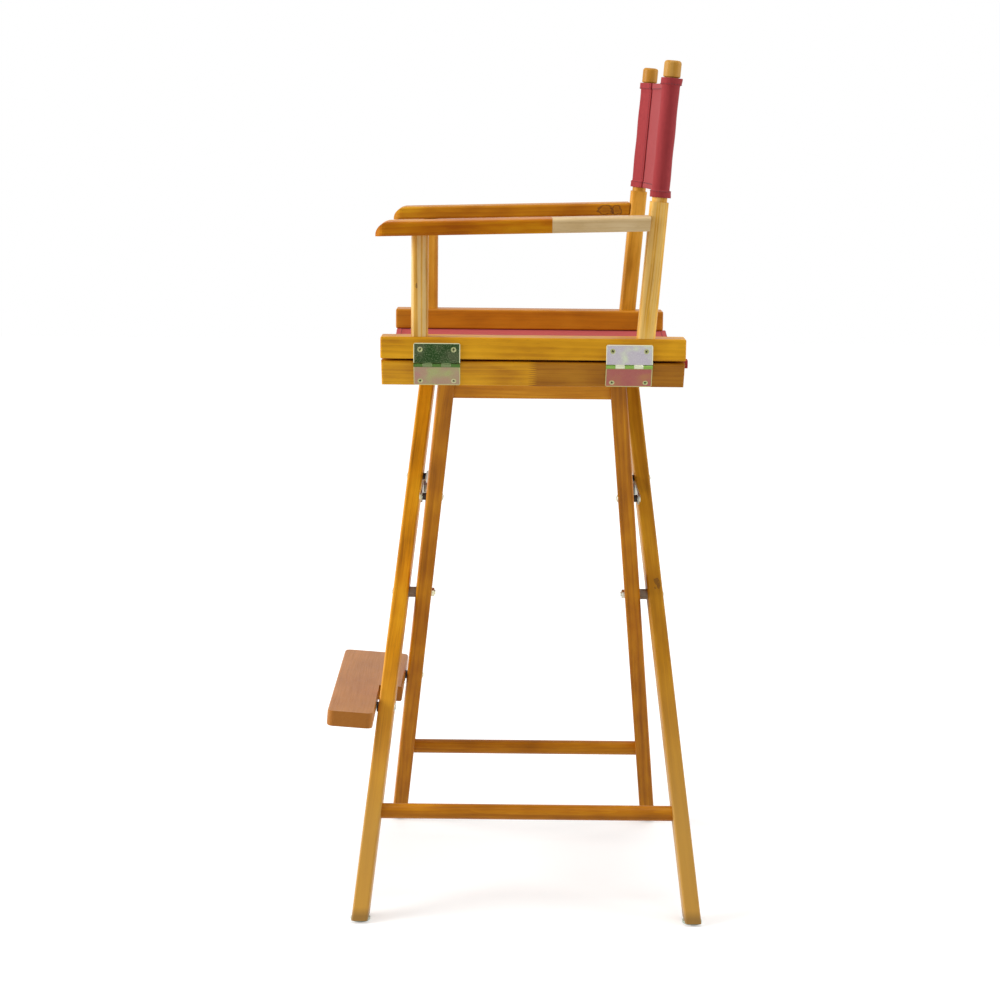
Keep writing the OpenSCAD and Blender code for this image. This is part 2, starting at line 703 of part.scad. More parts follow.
module front_post(side) color(wood) on_side(side) {
    difference() {
        prism_z(rounded(box_points(post_x - front_post_width / 2, post_x + front_post_width / 2,
            -front_post_y - front_post_width / 2, -front_post_y + front_post_width / 2),
            post_round), arm_rail_high, front_top + front_post_width);
        in_armrest() translate([-big / 2, -big / 2, 0]) cube(big);
    }
    translate([post_x, -front_post_y, arm_rail_high - tenon_length])
        cylinder(d = tenon_d, h = tenon_length + tenon_d);
    front_tenon();
}
module front_tenon()
    translate([post_x, -front_post_y, front_top - tenon_d])
        cylinder(d = tenon_d, h = tenon_length - 2 + tenon_d);

// The leaning axis of a rear post, from the arm rail top.
module post_axis()
    translate([post_x, rear_post_y, arm_rail_high]) rotate([-rear_post_lean, 0, 0]) children();

module rear_post(side) color(wood) on_side(side) difference() {
    union() {
        difference() {
            post_axis() prism_z(rounded(box_points(-rear_post_width / 2, rear_post_width / 2,
                -rear_post_width / 2, rear_post_width / 2), post_round),
                -rear_post_width, shoulder_up);
            translate([-big / 2, -big / 2, arm_rail_high - big]) cube(big);
        }
        post_axis() {
            translate([0, 0, -tenon_length]) cylinder(d = tenon_d, h = tenon_length + tenon_d);
            rotate_extrude() polygon(concat(
                [[0, shoulder_up - over], [neck_d / 2, shoulder_up - over],
                    [neck_d / 2, knob_low_up - 2 * neck_taper], [knob_neck_d / 2, knob_low_up - neck_taper],
                    [knob_neck_d / 2, knob_low_up], [knob_d / 2 - knob_ease, knob_low_up],
                    [knob_d / 2, knob_low_up + knob_ease]],
                [for (i = [0:arc_steps]) [knob_d / 2 - knob_edge + knob_edge * cos(90 * i / arc_steps),
                    post_top_up - knob_edge + knob_edge * sin(90 * i / arc_steps)]],
                [[0, post_top_up]]));
        }
    }
    armrest_dowel();
}

module in_armrest()
    translate([armrest_x, -armrest_nose, armrest_height]) rotate([armrest_rise, 0, 0]) children();

module armrest_dowel()
    translate([post_x, armrest_end - dowel_l, armrest_height + armrest_thick / 2
        + (armrest_end + armrest_nose) * tan(armrest_rise)])
        rotate([-90, 0, 0]) cylinder(d = dowel_d, h = 2 * dowel_l);

module armrest(side) color(wood) on_side(side) {
    length = armrest_nose + rear_post_y + rear_post_width;
    nose = [for (i = [0:2 * arc_steps]) [nose_length * (1 - sin(45 * i / arc_steps)),
        armrest_thick * (1 - cos(45 * i / arc_steps))]];
    difference() {
        in_armrest() intersection() {
            prism_x(concat([for (p = nose) [p[0], armrest_thick - p[1]]], [[length, 0],
                [length, armrest_thick]]), -armrest_width / 2, armrest_width / 2);
            prism_z(concat(
                round_corner([-armrest_width / 2, length], [-armrest_width / 2, 0],
                    [armrest_width / 2, 0], nose_corner),
                round_corner([-armrest_width / 2, 0], [armrest_width / 2, 0],
                    [armrest_width / 2, length], nose_corner),
                [[armrest_width / 2, length], [-armrest_width / 2, length]]),
                0, armrest_thick);
            prism_y(rounded(box_points(-armrest_width / 2, armrest_width / 2, 0, armrest_thick),
                armrest_edge), 0, length);
        }
        // The rear end lies flat against the leaning post.
        post_axis() translate([-big / 2, -rear_post_width / 2, -big / 2]) cube(big);
        front_tenon();
    }
    armrest_dowel();
}

// ---- footrest ----

// The plank's own frame: x across, y from the back of its ear, z from its middle.
module in_plank()
    translate([footrest_shift, y_shift - ear_y, footrest_height]) rotate([-footrest_slope, 0, 0])
        translate([0, 0, plank_over_bolt]) children();

module footrest_plank() color(wood_dark)
    difference() {
        in_plank() intersection() {
            prism_z(plank_outline(), -footrest_thick / 2, footrest_thick / 2);
            prism_x(rounded(box_points(ear_y - footrest_front, ear_y - plank_back,
                -footrest_thick / 2, footrest_thick / 2), plank_edge), -big / 2, big / 2);
        }
        translate([0, y_shift, 0]) {
            bar_y(footrest_bolt_d + 2 * hair, foot_bolt_x, footrest_height, -ear_y - leg_depth, -ear_y + big);
            peg_path();
        }
    }
function plank_outline() =
    let (x0 = -footrest_length / 2, x1 = footrest_length / 2,
        y0 = ear_y - footrest_front, y2 = ear_y - plank_back)
    concat(
        round_corner([x0, y2], [x0, y0], [x1, y0], footrest_corner),
        round_corner([x0, y0], [x1, y0], [x1, 0], footrest_corner),
        round_corner([x1, y0], [x1, 0], [notch_x, 0], notch_corner),
        [[notch_x - footrest_shift, 0], [notch_x - footrest_shift, y2]],
        round_corner([notch_x, y2], [x0, y2], [x0, y0], footrest_corner));

// Seat of the peg in the plank, and the way out that the peg takes as the frames close.
module peg_path() {
    r = peg_d / 2 + slack;
    path_r = peg_s;
    y0 = -peg_inner_face - peg_length - slack;
    for (i = [0:peg_path_steps]) {
        a = frame_lean - i * peg_path_turn;
        bar_y(2 * r, -path_r * sin(a), pivot_height - path_r * cos(a), y0, 0);
    }
    bar_y_drop(r, y0);
}
// The seat is open downwards, so that the plank lifts off the peg.
module bar_y_drop(r, y0)
    translate([-peg_s * lean_s - r, y0, pivot_height - peg_s * lean_c - 2 * peg_d])
        cube([2 * r, -y0, 2 * peg_d]);

module footrest_bolt() color(zinc) in_frame(-1) {
    in_face = leg_y(outer_spread, -foot_bolt_s) - leg_span / 2 + spot_head;
    bar_y(footrest_bolt_d, 0, -foot_bolt_s, -ear_y - bolt_in_plank, -in_face);
    translate([0, -2 * in_face, 0]) mirror([0, 1, 0])
        dome(bolt_head_d, bolt_head_h, 0, -in_face, -foot_bolt_s);
}
module footrest_washer() color(nylon) translate([0, y_shift, 0]) difference() {
    bar_y(washer_d, foot_bolt_x, footrest_height, -ear_y + 2 * slack, -washer_seat);
    bar_y(footrest_bolt_d, foot_bolt_x, footrest_height, -big, big);
}
module footrest_peg() color(nylon) in_frame(1) difference() {
    bar_y(peg_d, 0, -peg_s, -peg_inner_face - peg_length, -peg_inner_face + (peg_d / 2 + 0.5) * splay_t);
    bar_y(peg_bolt_d, 0, -peg_s, -big, big);
}
module footrest_peg_bolt() color(zinc) in_frame(1) {
    in_face = leg_y(inner_spread, -peg_s) - leg_span / 2 + spot_head;
    bar_y(peg_bolt_d, 0, -peg_s, -peg_inner_face - peg_length, -in_face);
    translate([0, -2 * in_face, 0]) mirror([0, 1, 0])
        dome(bolt_head_d, bolt_head_h, 0, -in_face, -peg_s);
}

// ---- cloth ----

// Half of the seat cloth in section: level over the rail, then sagging to the middle.
function sag_z(x) = seat_cloth_z - seat_sag * (1 - pow(x / cloth_edge_x, 2));
function cloth_line(t) = concat(
    [for (i = [-sag_steps:sag_steps]) let (x = cloth_edge_x * i / sag_steps) [x, sag_z(x) + t]],
    [[groove_x + pocket_out, seat_cloth_z + t]]);

module seat_canvas() color(cloth_red) translate([0, y_shift, 0]) {
    y0 = -seat_rail_length / 2 + 1;
    y1 = seat_rail_length / 2 + seat_overhang;
    top = concat([[-groove_x - pocket_out, seat_cloth_z + canvas_thick]], cloth_line(canvas_thick));
    low = concat([[-groove_x - pocket_out, seat_cloth_z]], cloth_line(0));
    prism_y(concat(low, [for (i = [len(top) - 1:-1:0]) top[i]]), y0, y1);
    for (side = [-1, 1]) mirror([side < 0 ? 1 : 0, 0, 0]) difference() {
        union() {
            bar_y(2 * pocket_out, groove_x, rod_z, y0, y1);
            translate([groove_x - pocket_out, y0, rod_z])
                cube([2 * pocket_out, y1 - y0, seat_cloth_z + canvas_thick / 2 - rod_z]);
        }
        bar_y(2 * pocket_in, groove_x, rod_z, y0 - over, y1 + over);
    }
}

// A sleeve round a post seen down its axis: a circle, and flat sides that run from it to the seam.
module sleeve(r, inset, extra) {
    flat_r = r - sleeve_tuck;
    heading = atan2(seam_back, -inset);
    spread = acos(flat_r / norm([inset, seam_back]));
    touch = function(sign) flat_r * [cos(heading + sign * spread), sin(heading + sign * spread)];
    translate([0, 0, sleeve_low_up - extra]) {
        cylinder(r = r, h = back_height + 2 * extra);
        linear_extrude(back_height + 2 * extra)
            polygon([[-inset, seam_back], touch(1), [0, 0], touch(-1)]);
    }
}
function billow_y(x) = seam_back + back_billow * (1 - pow(x / seam_x, 2));
function panel_line(t) = [for (i = [-sag_steps:sag_steps]) let (x = seam_x * i / sag_steps)
    [x, billow_y(x) + t]];

module back_canvas() color(cloth_red) translate([0, y_shift, 0]) {
    for (side = [-1, 1]) mirror([side < 0 ? 1 : 0, 0, 0]) post_axis() difference() {
        sleeve(sleeve_out, seam_inset, 0);
        sleeve(sleeve_in, seam_inset - 4 * canvas_thick, over);
    }
    low = panel_line(-canvas_thick / 2);
    high = panel_line(canvas_thick / 2);
    post_axis() translate([-post_x, 0, 0])
        prism_z(concat(low, [for (i = [len(high) - 1:-1:0]) high[i]]),
            sleeve_low_up, sleeve_low_up + back_height);
}

// ---- nodes ----

module outer_leg_front() outer_leg(-1);
module outer_leg_rear() outer_leg(1);
module outer_seat_rail() color(wood) seat_rail(-1, outer_spread);
module outer_cross_rail() color(wood_dark) cross_rail(-1, outer_spread);
module outer_stretcher() color(wood_dark) in_frame(-1) stretcher_bar(outer_spread);
module outer_glides() glides(-1, outer_spread);
module outer_seat_rod() seat_rod(-1);
module outer_hinge_leaves() seat_leaves(-1);
module outer_hinge_pins() hinge_pins(-1);
module outer_leaf_screws() color(zinc) leaf_screws_low(-1);
module outer_brace_bolts() color(zinc) for (end = [-1, 1]) brace_bolt(-1, end);
module outer_brace_spacers() color(nylon) for (end = [-1, 1]) brace_spacer(-1, end);
module pivot_bolts() color(zinc) for (end = [-1, 1]) pivot_bolt(end);
module pivot_spacers() color(zinc) for (end = [-1, 1]) pivot_spacer(end);
module pivot_nuts() color(zinc) for (end = [-1, 1]) pivot_nut(end);
module inner_leg_front() inner_leg(-1);
module inner_leg_rear() inner_leg(1);
module inner_seat_rail() color(wood) seat_rail(1, inner_spread);
module inner_cross_rail() color(wood_dark) cross_rail(1, inner_spread);
module inner_stretcher() color(wood_dark) in_frame(1) stretcher_bar(inner_spread);
module inner_glides() glides(1, inner_spread);
module inner_seat_rod() seat_rod(1);
module inner_hinge_leaves() seat_leaves(1);
module inner_hinge_pins() hinge_pins(1);
module inner_leaf_screws() color(zinc) leaf_screws_low(1);
module inner_brace_bolts() color(zinc) for (end = [-1, 1]) brace_bolt(1, end);
module inner_brace_spacers() color(nylon) for (end = [-1, 1]) brace_spacer(1, end);
module right_arm_rail() arm_rail(-1);
module right_front_post() front_post(-1);
module right_rear_post() rear_post(-1);
module right_armrest() armrest(-1);
module right_arm_leaves() arm_leaves(-1);
module right_arm_screws() color(zinc) arm_leaf_screws(-1);
module left_arm_rail() arm_rail(1);
module left_front_post() front_post(1);
module left_rear_post() rear_post(1);
module left_armrest() armrest(1);
module left_arm_leaves() arm_leaves(1);
module left_arm_screws() color(zinc) arm_leaf_screws(1);
module outer_strip_front() brace_strip(-1, -1);
module outer_strip_rear() brace_strip(-1, 1);
module inner_strip_front() brace_strip(1, -1);
module inner_strip_rear() brace_strip(1, 1);

outer_leg_front();
outer_leg_rear();
outer_seat_rail();
outer_cross_rail();
outer_stretcher();
outer_glides();
outer_seat_rod();
outer_hinge_leaves();
outer_hinge_pins();
outer_leaf_screws();
outer_brace_bolts();
outer_brace_spacers();
pivot_bolts();
pivot_spacers();
pivot_nuts();
footrest_bolt();
footrest_washer();
inner_leg_front();
inner_leg_rear();
inner_seat_rail();
inner_cross_rail();
inner_stretcher();
inner_glides();
inner_seat_rod();
inner_hinge_leaves();
inner_hinge_pins();
inner_leaf_screws();
inner_brace_bolts();
inner_brace_spacers();
footrest_peg();
footrest_peg_bolt();
right_arm_rail();
right_front_post();
right_rear_post();
right_armrest();
right_arm_leaves();
right_arm_screws();
left_arm_rail();
left_front_post();
left_rear_post();
left_armrest();
left_arm_leaves();
left_arm_screws();
outer_strip_front();
outer_strip_rear();
inner_strip_front();
inner_strip_rear();
footrest_plank();
seat_canvas();
back_canvas();
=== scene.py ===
"""Bar-height director's chair: its canvas, finishes, screws, floor, lamps and camera.

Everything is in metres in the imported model's frame: +Z up, the sitter faces -Y and +X is
the sitter's left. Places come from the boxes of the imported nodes.
"""

import itertools
import json
import logging
import math
from collections.abc import Iterator
from dataclasses import dataclass, field
from enum import Enum

import bmesh
import bpy
import numpy as np
from mathutils import Matrix, Vector


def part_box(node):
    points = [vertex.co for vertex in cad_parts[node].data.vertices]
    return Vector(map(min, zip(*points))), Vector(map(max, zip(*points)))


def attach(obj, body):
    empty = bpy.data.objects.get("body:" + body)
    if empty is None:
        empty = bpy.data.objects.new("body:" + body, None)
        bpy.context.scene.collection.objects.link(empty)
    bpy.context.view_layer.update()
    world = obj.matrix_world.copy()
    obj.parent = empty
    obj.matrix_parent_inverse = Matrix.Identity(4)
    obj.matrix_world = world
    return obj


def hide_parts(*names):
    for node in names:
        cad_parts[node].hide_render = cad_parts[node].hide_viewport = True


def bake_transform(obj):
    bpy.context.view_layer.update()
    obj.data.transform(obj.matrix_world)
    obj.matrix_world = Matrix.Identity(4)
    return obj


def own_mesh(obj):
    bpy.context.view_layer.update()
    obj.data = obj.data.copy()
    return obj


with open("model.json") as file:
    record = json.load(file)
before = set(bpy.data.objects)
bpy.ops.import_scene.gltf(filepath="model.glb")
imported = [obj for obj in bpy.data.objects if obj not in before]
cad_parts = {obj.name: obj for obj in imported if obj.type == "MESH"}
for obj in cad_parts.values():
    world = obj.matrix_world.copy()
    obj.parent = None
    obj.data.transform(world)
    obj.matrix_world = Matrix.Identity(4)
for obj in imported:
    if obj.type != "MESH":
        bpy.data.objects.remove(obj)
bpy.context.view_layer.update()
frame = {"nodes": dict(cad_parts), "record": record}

MM = 0.001
LOG = logging.getLogger("chair")

FRAME_LEAN = math.radians(30.1)   # a leg frame from upright, across the chair
LEG_SPLAY = math.radians(5.4)     # a leg within its frame
POST_LEAN = math.radians(4.5)     # a rear post, towards the back
ARM_RISE = math.radians(1.6)      # an armrest, towards the back
GOLDEN_ANGLE = 2.399963           # spreads the boards round their tree

Axis = tuple[float, float, float]
Colour = tuple[float, float, float, float]
Shades = tuple[str, str, str]     # light, middle and dark
Socket = bpy.types.NodeSocket
Material = bpy.types.Material
Piece = bpy.types.Object
Array = np.ndarray


# ---- shared helpers ----


def linear(hex_colour: str) -> Colour:
    """Turns an sRGB hex colour into linear RGBA.

    Args:
        hex_colour: The colour as "#rrggbb".

    Returns:
        Linear red, green, blue and an alpha of 1.
    """
    parts = [int(hex_colour[i : i + 2], 16) / 255 for i in (1, 3, 5)]
    rgb = [p / 12.92 if p <= 0.04045 else ((p + 0.055) / 1.055) ** 2.4 for p in parts]
    return (*rgb, 1.0)


def pitch(size_mm: float) -> float:
    """Returns the frequency, per metre, of a pattern that repeats every size_mm."""
    return 1 / (size_mm * MM)


def corners(node: str) -> tuple[Array, Array]:
    """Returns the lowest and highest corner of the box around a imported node."""
    low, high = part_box(node)
    return np.array(low), np.array(high)


def unit(vectors: Array) -> Array:
    """Returns vectors over their lengths."""
    return vectors / np.linalg.norm(vectors, axis=-1, keepdims=True)


def lengths(line: Array) -> Array:
    """Returns how far along a line of points each of them is, from 0."""
    return np.concatenate([[0], np.cumsum(np.linalg.norm(np.diff(line, axis=0), axis=1))])


def resample(values: Array, run: Array, at: Array) -> Array:
    """Returns n by k values, known at the lengths run, at other lengths."""
    return np.stack([np.interp(at, run, column) for column in values.T], axis=-1)


def smoothstep(low: float, high: float, value: Array) -> Array:
    """Rises from 0 at low to 1 at high as 3t^2 - 2t^3."""
    t = np.clip((value - low) / (high - low), 0, 1)
    return t * t * (3 - 2 * t)


class Graph:
    """A material's or a world's node tree, and the one method that adds a node to it."""

    def __init__(self, owner: Material | bpy.types.World) -> None:
        """Empties the tree.

        Args:
            owner: Whose tree it is.
        """
        self.owner = owner
        owner.use_nodes = True
        owner.node_tree.nodes.clear()

    def add(
        self, kind: str, *feeds: object, out: int | str | None = None, **more: object
    ) -> Socket | None:
        """Adds a node, sets it up, feeds its sockets and returns one of its outputs.

        A Mix node mixes two colours, so its sockets are the share and those two.

        Args:
            kind: The node's type without its "ShaderNode", with any operation after a dot.
            *feeds: Values or other nodes' outputs for its first sockets, in order.
            out: The output to return, if not the first.
            **more: Its own fields, in small letters, and feeds for the sockets of those
                names, in capitals with _ for a space.

        Returns:
            The output socket, or None where it has none.
        """
        kind, _, operation = kind.partition(".")
        tree = self.owner.node_tree
        node = tree.nodes.new("ShaderNode" + kind)
        sockets, usual = range(len(feeds)), 0
        if kind == "Mix":
            node.data_type, sockets, usual = "RGBA", (0, 6, 7), 2
        if operation:
            node.operation = operation
        fed = dict(zip(sockets, feeds))
        for key, value in more.items():
            if key[0].isupper():
                fed[key.replace("_", " ")] = value
            else:
                setattr(node, key, value)
        for key, value in fed.items():
            if isinstance(value, Socket):
                tree.links.new(value, node.inputs[key])
            else:
                node.inputs[key].default_value = value
        return node.outputs[usual if out is None else out] if node.outputs else None

    @property
    def place(self) -> Socket:
        """Object coordinates, in metres."""
        return self.add("TexCoord", out="Object")

    def total(self, start: float, terms: tuple[tuple[Socket, float], ...]) -> Socket:
        """Adds up weighted sockets.

        Args:
            start: What the sum starts from.
            terms: Each socket and its weight.

        Returns:
            Start plus every socket times its weight.
        """
        for source, weight in terms:
            start = self.add("Math.MULTIPLY_ADD", source, weight, start)
        return start

    def patches(
        self, place: Socket, size_mm: float, detail: float, low: float, high: float, share: float
    ) -> Socket:
        """Returns noise of that size as 0 where it is under low, and share where over high."""
        noise = self.add("TexNoise", place, Scale=pitch(size_mm), Detail=detail)
        return self.add("MapRange", noise, low, high, 0.0, share)

    def finish(self, surface: Socket) -> Material | bpy.types.World:
        """Joins the surface to the output and returns the material or world."""
        self.add("Output" + type(self.owner).__name__, surface)
        return self.owner


def new_material(name: str) -> Graph:
    """Returns an empty material of that name as a graph."""
    return Graph(bpy.data.materials.new(name))


def paint(piece: str | Piece, material: Material) -> None:
    """Gives a piece its only material and reports it.

    Args:
        piece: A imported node's name or a new piece.
        material: The material.
    """
    obj = frame["nodes"][piece] if isinstance(piece, str) else piece
    if not obj.material_slots:
        obj.data.materials.append(material)
    for slot in obj.material_slots:
        slot.material = material
    LOG.info("%s: %s", obj.name, material.name)


def new_mesh(
    name: str, vertices: Array, faces: Array, uv: Array | None = None, smooth: bool = True
) -> Piece:
    """Makes an object at the origin from arrays.

    Args:
        name: The piece's name.
        vertices: n by 3 places in metres.
        faces: m by 3 or m by 4 corner numbers.
        uv: n by 2 cloth lengths in metres, one for each vertex.
        smooth: Whether the faces shade smoothly.

    Returns:
        The linked object.
    """
    mesh = bpy.data.meshes.new(name)
    mesh.from_pydata(vertices.tolist(), [], faces.tolist())
    if uv is not None:
        layer = mesh.uv_layers.new(name="cloth")
        loop_vertex = np.empty(len(mesh.loops), dtype=np.int32)
        mesh.loops.foreach_get("vertex_index", loop_vertex)
        layer.data.foreach_set("uv", uv[loop_vertex].astype(np.float32).ravel())
    mesh.polygons.foreach_set("use_smooth", np.full(len(mesh.polygons), smooth))
    mesh.update()
    obj = bpy.data.objects.new(name, mesh)
    bpy.context.scene.collection.objects.link(obj)
    return obj


def face_outwards(obj: Piece) -> None:
    """Turns a closed mesh's faces outwards.

    Args:
        obj: The mesh's object.
    """
    work = bmesh.new()
    work.from_mesh(obj.data)
    bmesh.ops.recalc_face_normals(work, faces=work.faces)
    work.to_mesh(obj.data)
    work.free()
    obj.data.update()


def grid_faces(rows: int, columns: int, start: int = 0) -> Array:
    """Numbers the quads of an open grid of vertices.

    Args:
        rows: Vertices along its first axis.
        columns: Vertices along its second axis.
        start: The first vertex's number.

    Returns:
        m by 4 corner numbers.
    """
    number = start + np.arange(rows * columns).reshape(rows, columns)
    quads = [number[:-1, :-1], number[1:, :-1], number[1:, 1:], number[:-1, 1:]]
    return np.stack(quads, axis=-1).reshape(-1, 4)


def grid_normals(points: Array) -> Array:
    """Returns unit normals of a grid: the cross product of its two central differences."""
    return unit(np.cross(np.gradient(points, axis=0), np.gradient(points, axis=1)))


def shell(middle: Array, normal: Array, thickness: Array) -> tuple[Array, Array]:
    """Gives a grid of points a thickness and closes its edges.

    Each point gives two: middle + normal * thickness / 2 and middle - normal *
    thickness / 2. The two skins are joined round the border by a strip of quads.

    Args:
        middle: rows by columns by 3 points of the cloth's middle surface.
        normal: The unit normals there.
        thickness: rows by columns thicknesses.

    Returns:
        The vertices and the quads, facing outwards.
    """
    rows, columns, _ = middle.shape
    half = normal * thickness[..., None] / 2
    vertices = np.concatenate([(middle + half).reshape(-1, 3), (middle - half).reshape(-1, 3)])
    size = rows * columns
    number = np.arange(size).reshape(rows, columns)
    border = np.concatenate([number[0, :-1], number[:-1, -1], number[-1, :0:-1], number[:0:-1, 0]])
    following = np.roll(border, -1)
    rim = np.stack([border, following, following + size, border + size], axis=-1)
    skins = [grid_faces(rows, columns), grid_faces(rows, columns, size)[:, ::-1]]
    return vertices, np.concatenate([*skins, rim])


# ---- finishes ----


@dataclass(frozen=True)
class Joint:
    """A glued joint in a board, past which another piece of stock begins."""

    at: float                 # place along the board, in metres along Y
    shades: Shades            # of the stock beyond
    comb_mm: float = 0.0      # pitch of its fingers, or 0 for a plain butt joint
    length_mm: float = 0.0    # length of its fingers
    edge_mm: float = 0.5      # half the width that the colour changes over

    def beyond(self, graph: Graph) -> Socket:
        """Tells the two stocks apart, with the joint's fingers as a zigzag.

        Args:
            graph: The material.

        Returns:
            A socket that is 1 past the joint and 0 before it.
        """
        parts = graph.add("SeparateXYZ", graph.place, out="Y")
        if self.comb_mm:
            half = self.comb_mm * MM / 2
            tooth = graph.add("Math.PINGPONG", graph.add("SeparateXYZ", graph.place, out="Z"), half)
            parts = graph.add("Math.MULTIPLY_ADD", tooth, self.length_mm * MM / half, parts)
        edge = self.edge_mm * MM
        return graph.add("MapRange", parts, self.at - edge, self.at + edge, 0.0, 1.0)


@dataclass(frozen=True)
class Knot:
    """A knot or dark fleck: its centre, its half sizes in mm and its strength."""

    at: Axis
    size_mm: Axis
    strength: float = 0.7
    dark: str = "#4a3020"

    def darken(self, graph: Graph, colour: Socket) -> Socket:
        """Darkens a wobbly ring and a core round the knot's centre.

        The distance from the centre in half sizes, plus noise, is 1.45 at the dark rim.

        Args:
            graph: The material.
            colour: The wood's colour.

        Returns:
            The colour with the knot in it.
        """
        sizes = tuple(pitch(size) for size in self.size_mm)
        start = tuple(-a * s for a, s in zip(self.at, sizes))
        near = graph.add("VectorMath.MULTIPLY_ADD", graph.place, sizes, start)
        rough = graph.add("TexNoise", near, Scale=1.6, Detail=3.0)
        reach = graph.add("VectorMath.LENGTH", near, out="Value")
        reach = graph.add("Math.MULTIPLY_ADD", rough, 1.1, reach)
        rim = graph.add("Math.COMPARE", reach, 1.45, 0.16)
        core = graph.add("MapRange", reach, 1.5, 0.9, 0.0, 0.55)
        share = graph.add("Math.MAXIMUM", rim, core)
        share = graph.add("Math.MULTIPLY", share, self.strength, use_clamp=True)
        return graph.add("Mix", share, colour, linear(self.dark))


@dataclass(frozen=True)
class Fade:
    """A colour that the stain turns to between two heights in metres, as far as share."""

    start: float
    end: float
    colour: str
    share: float


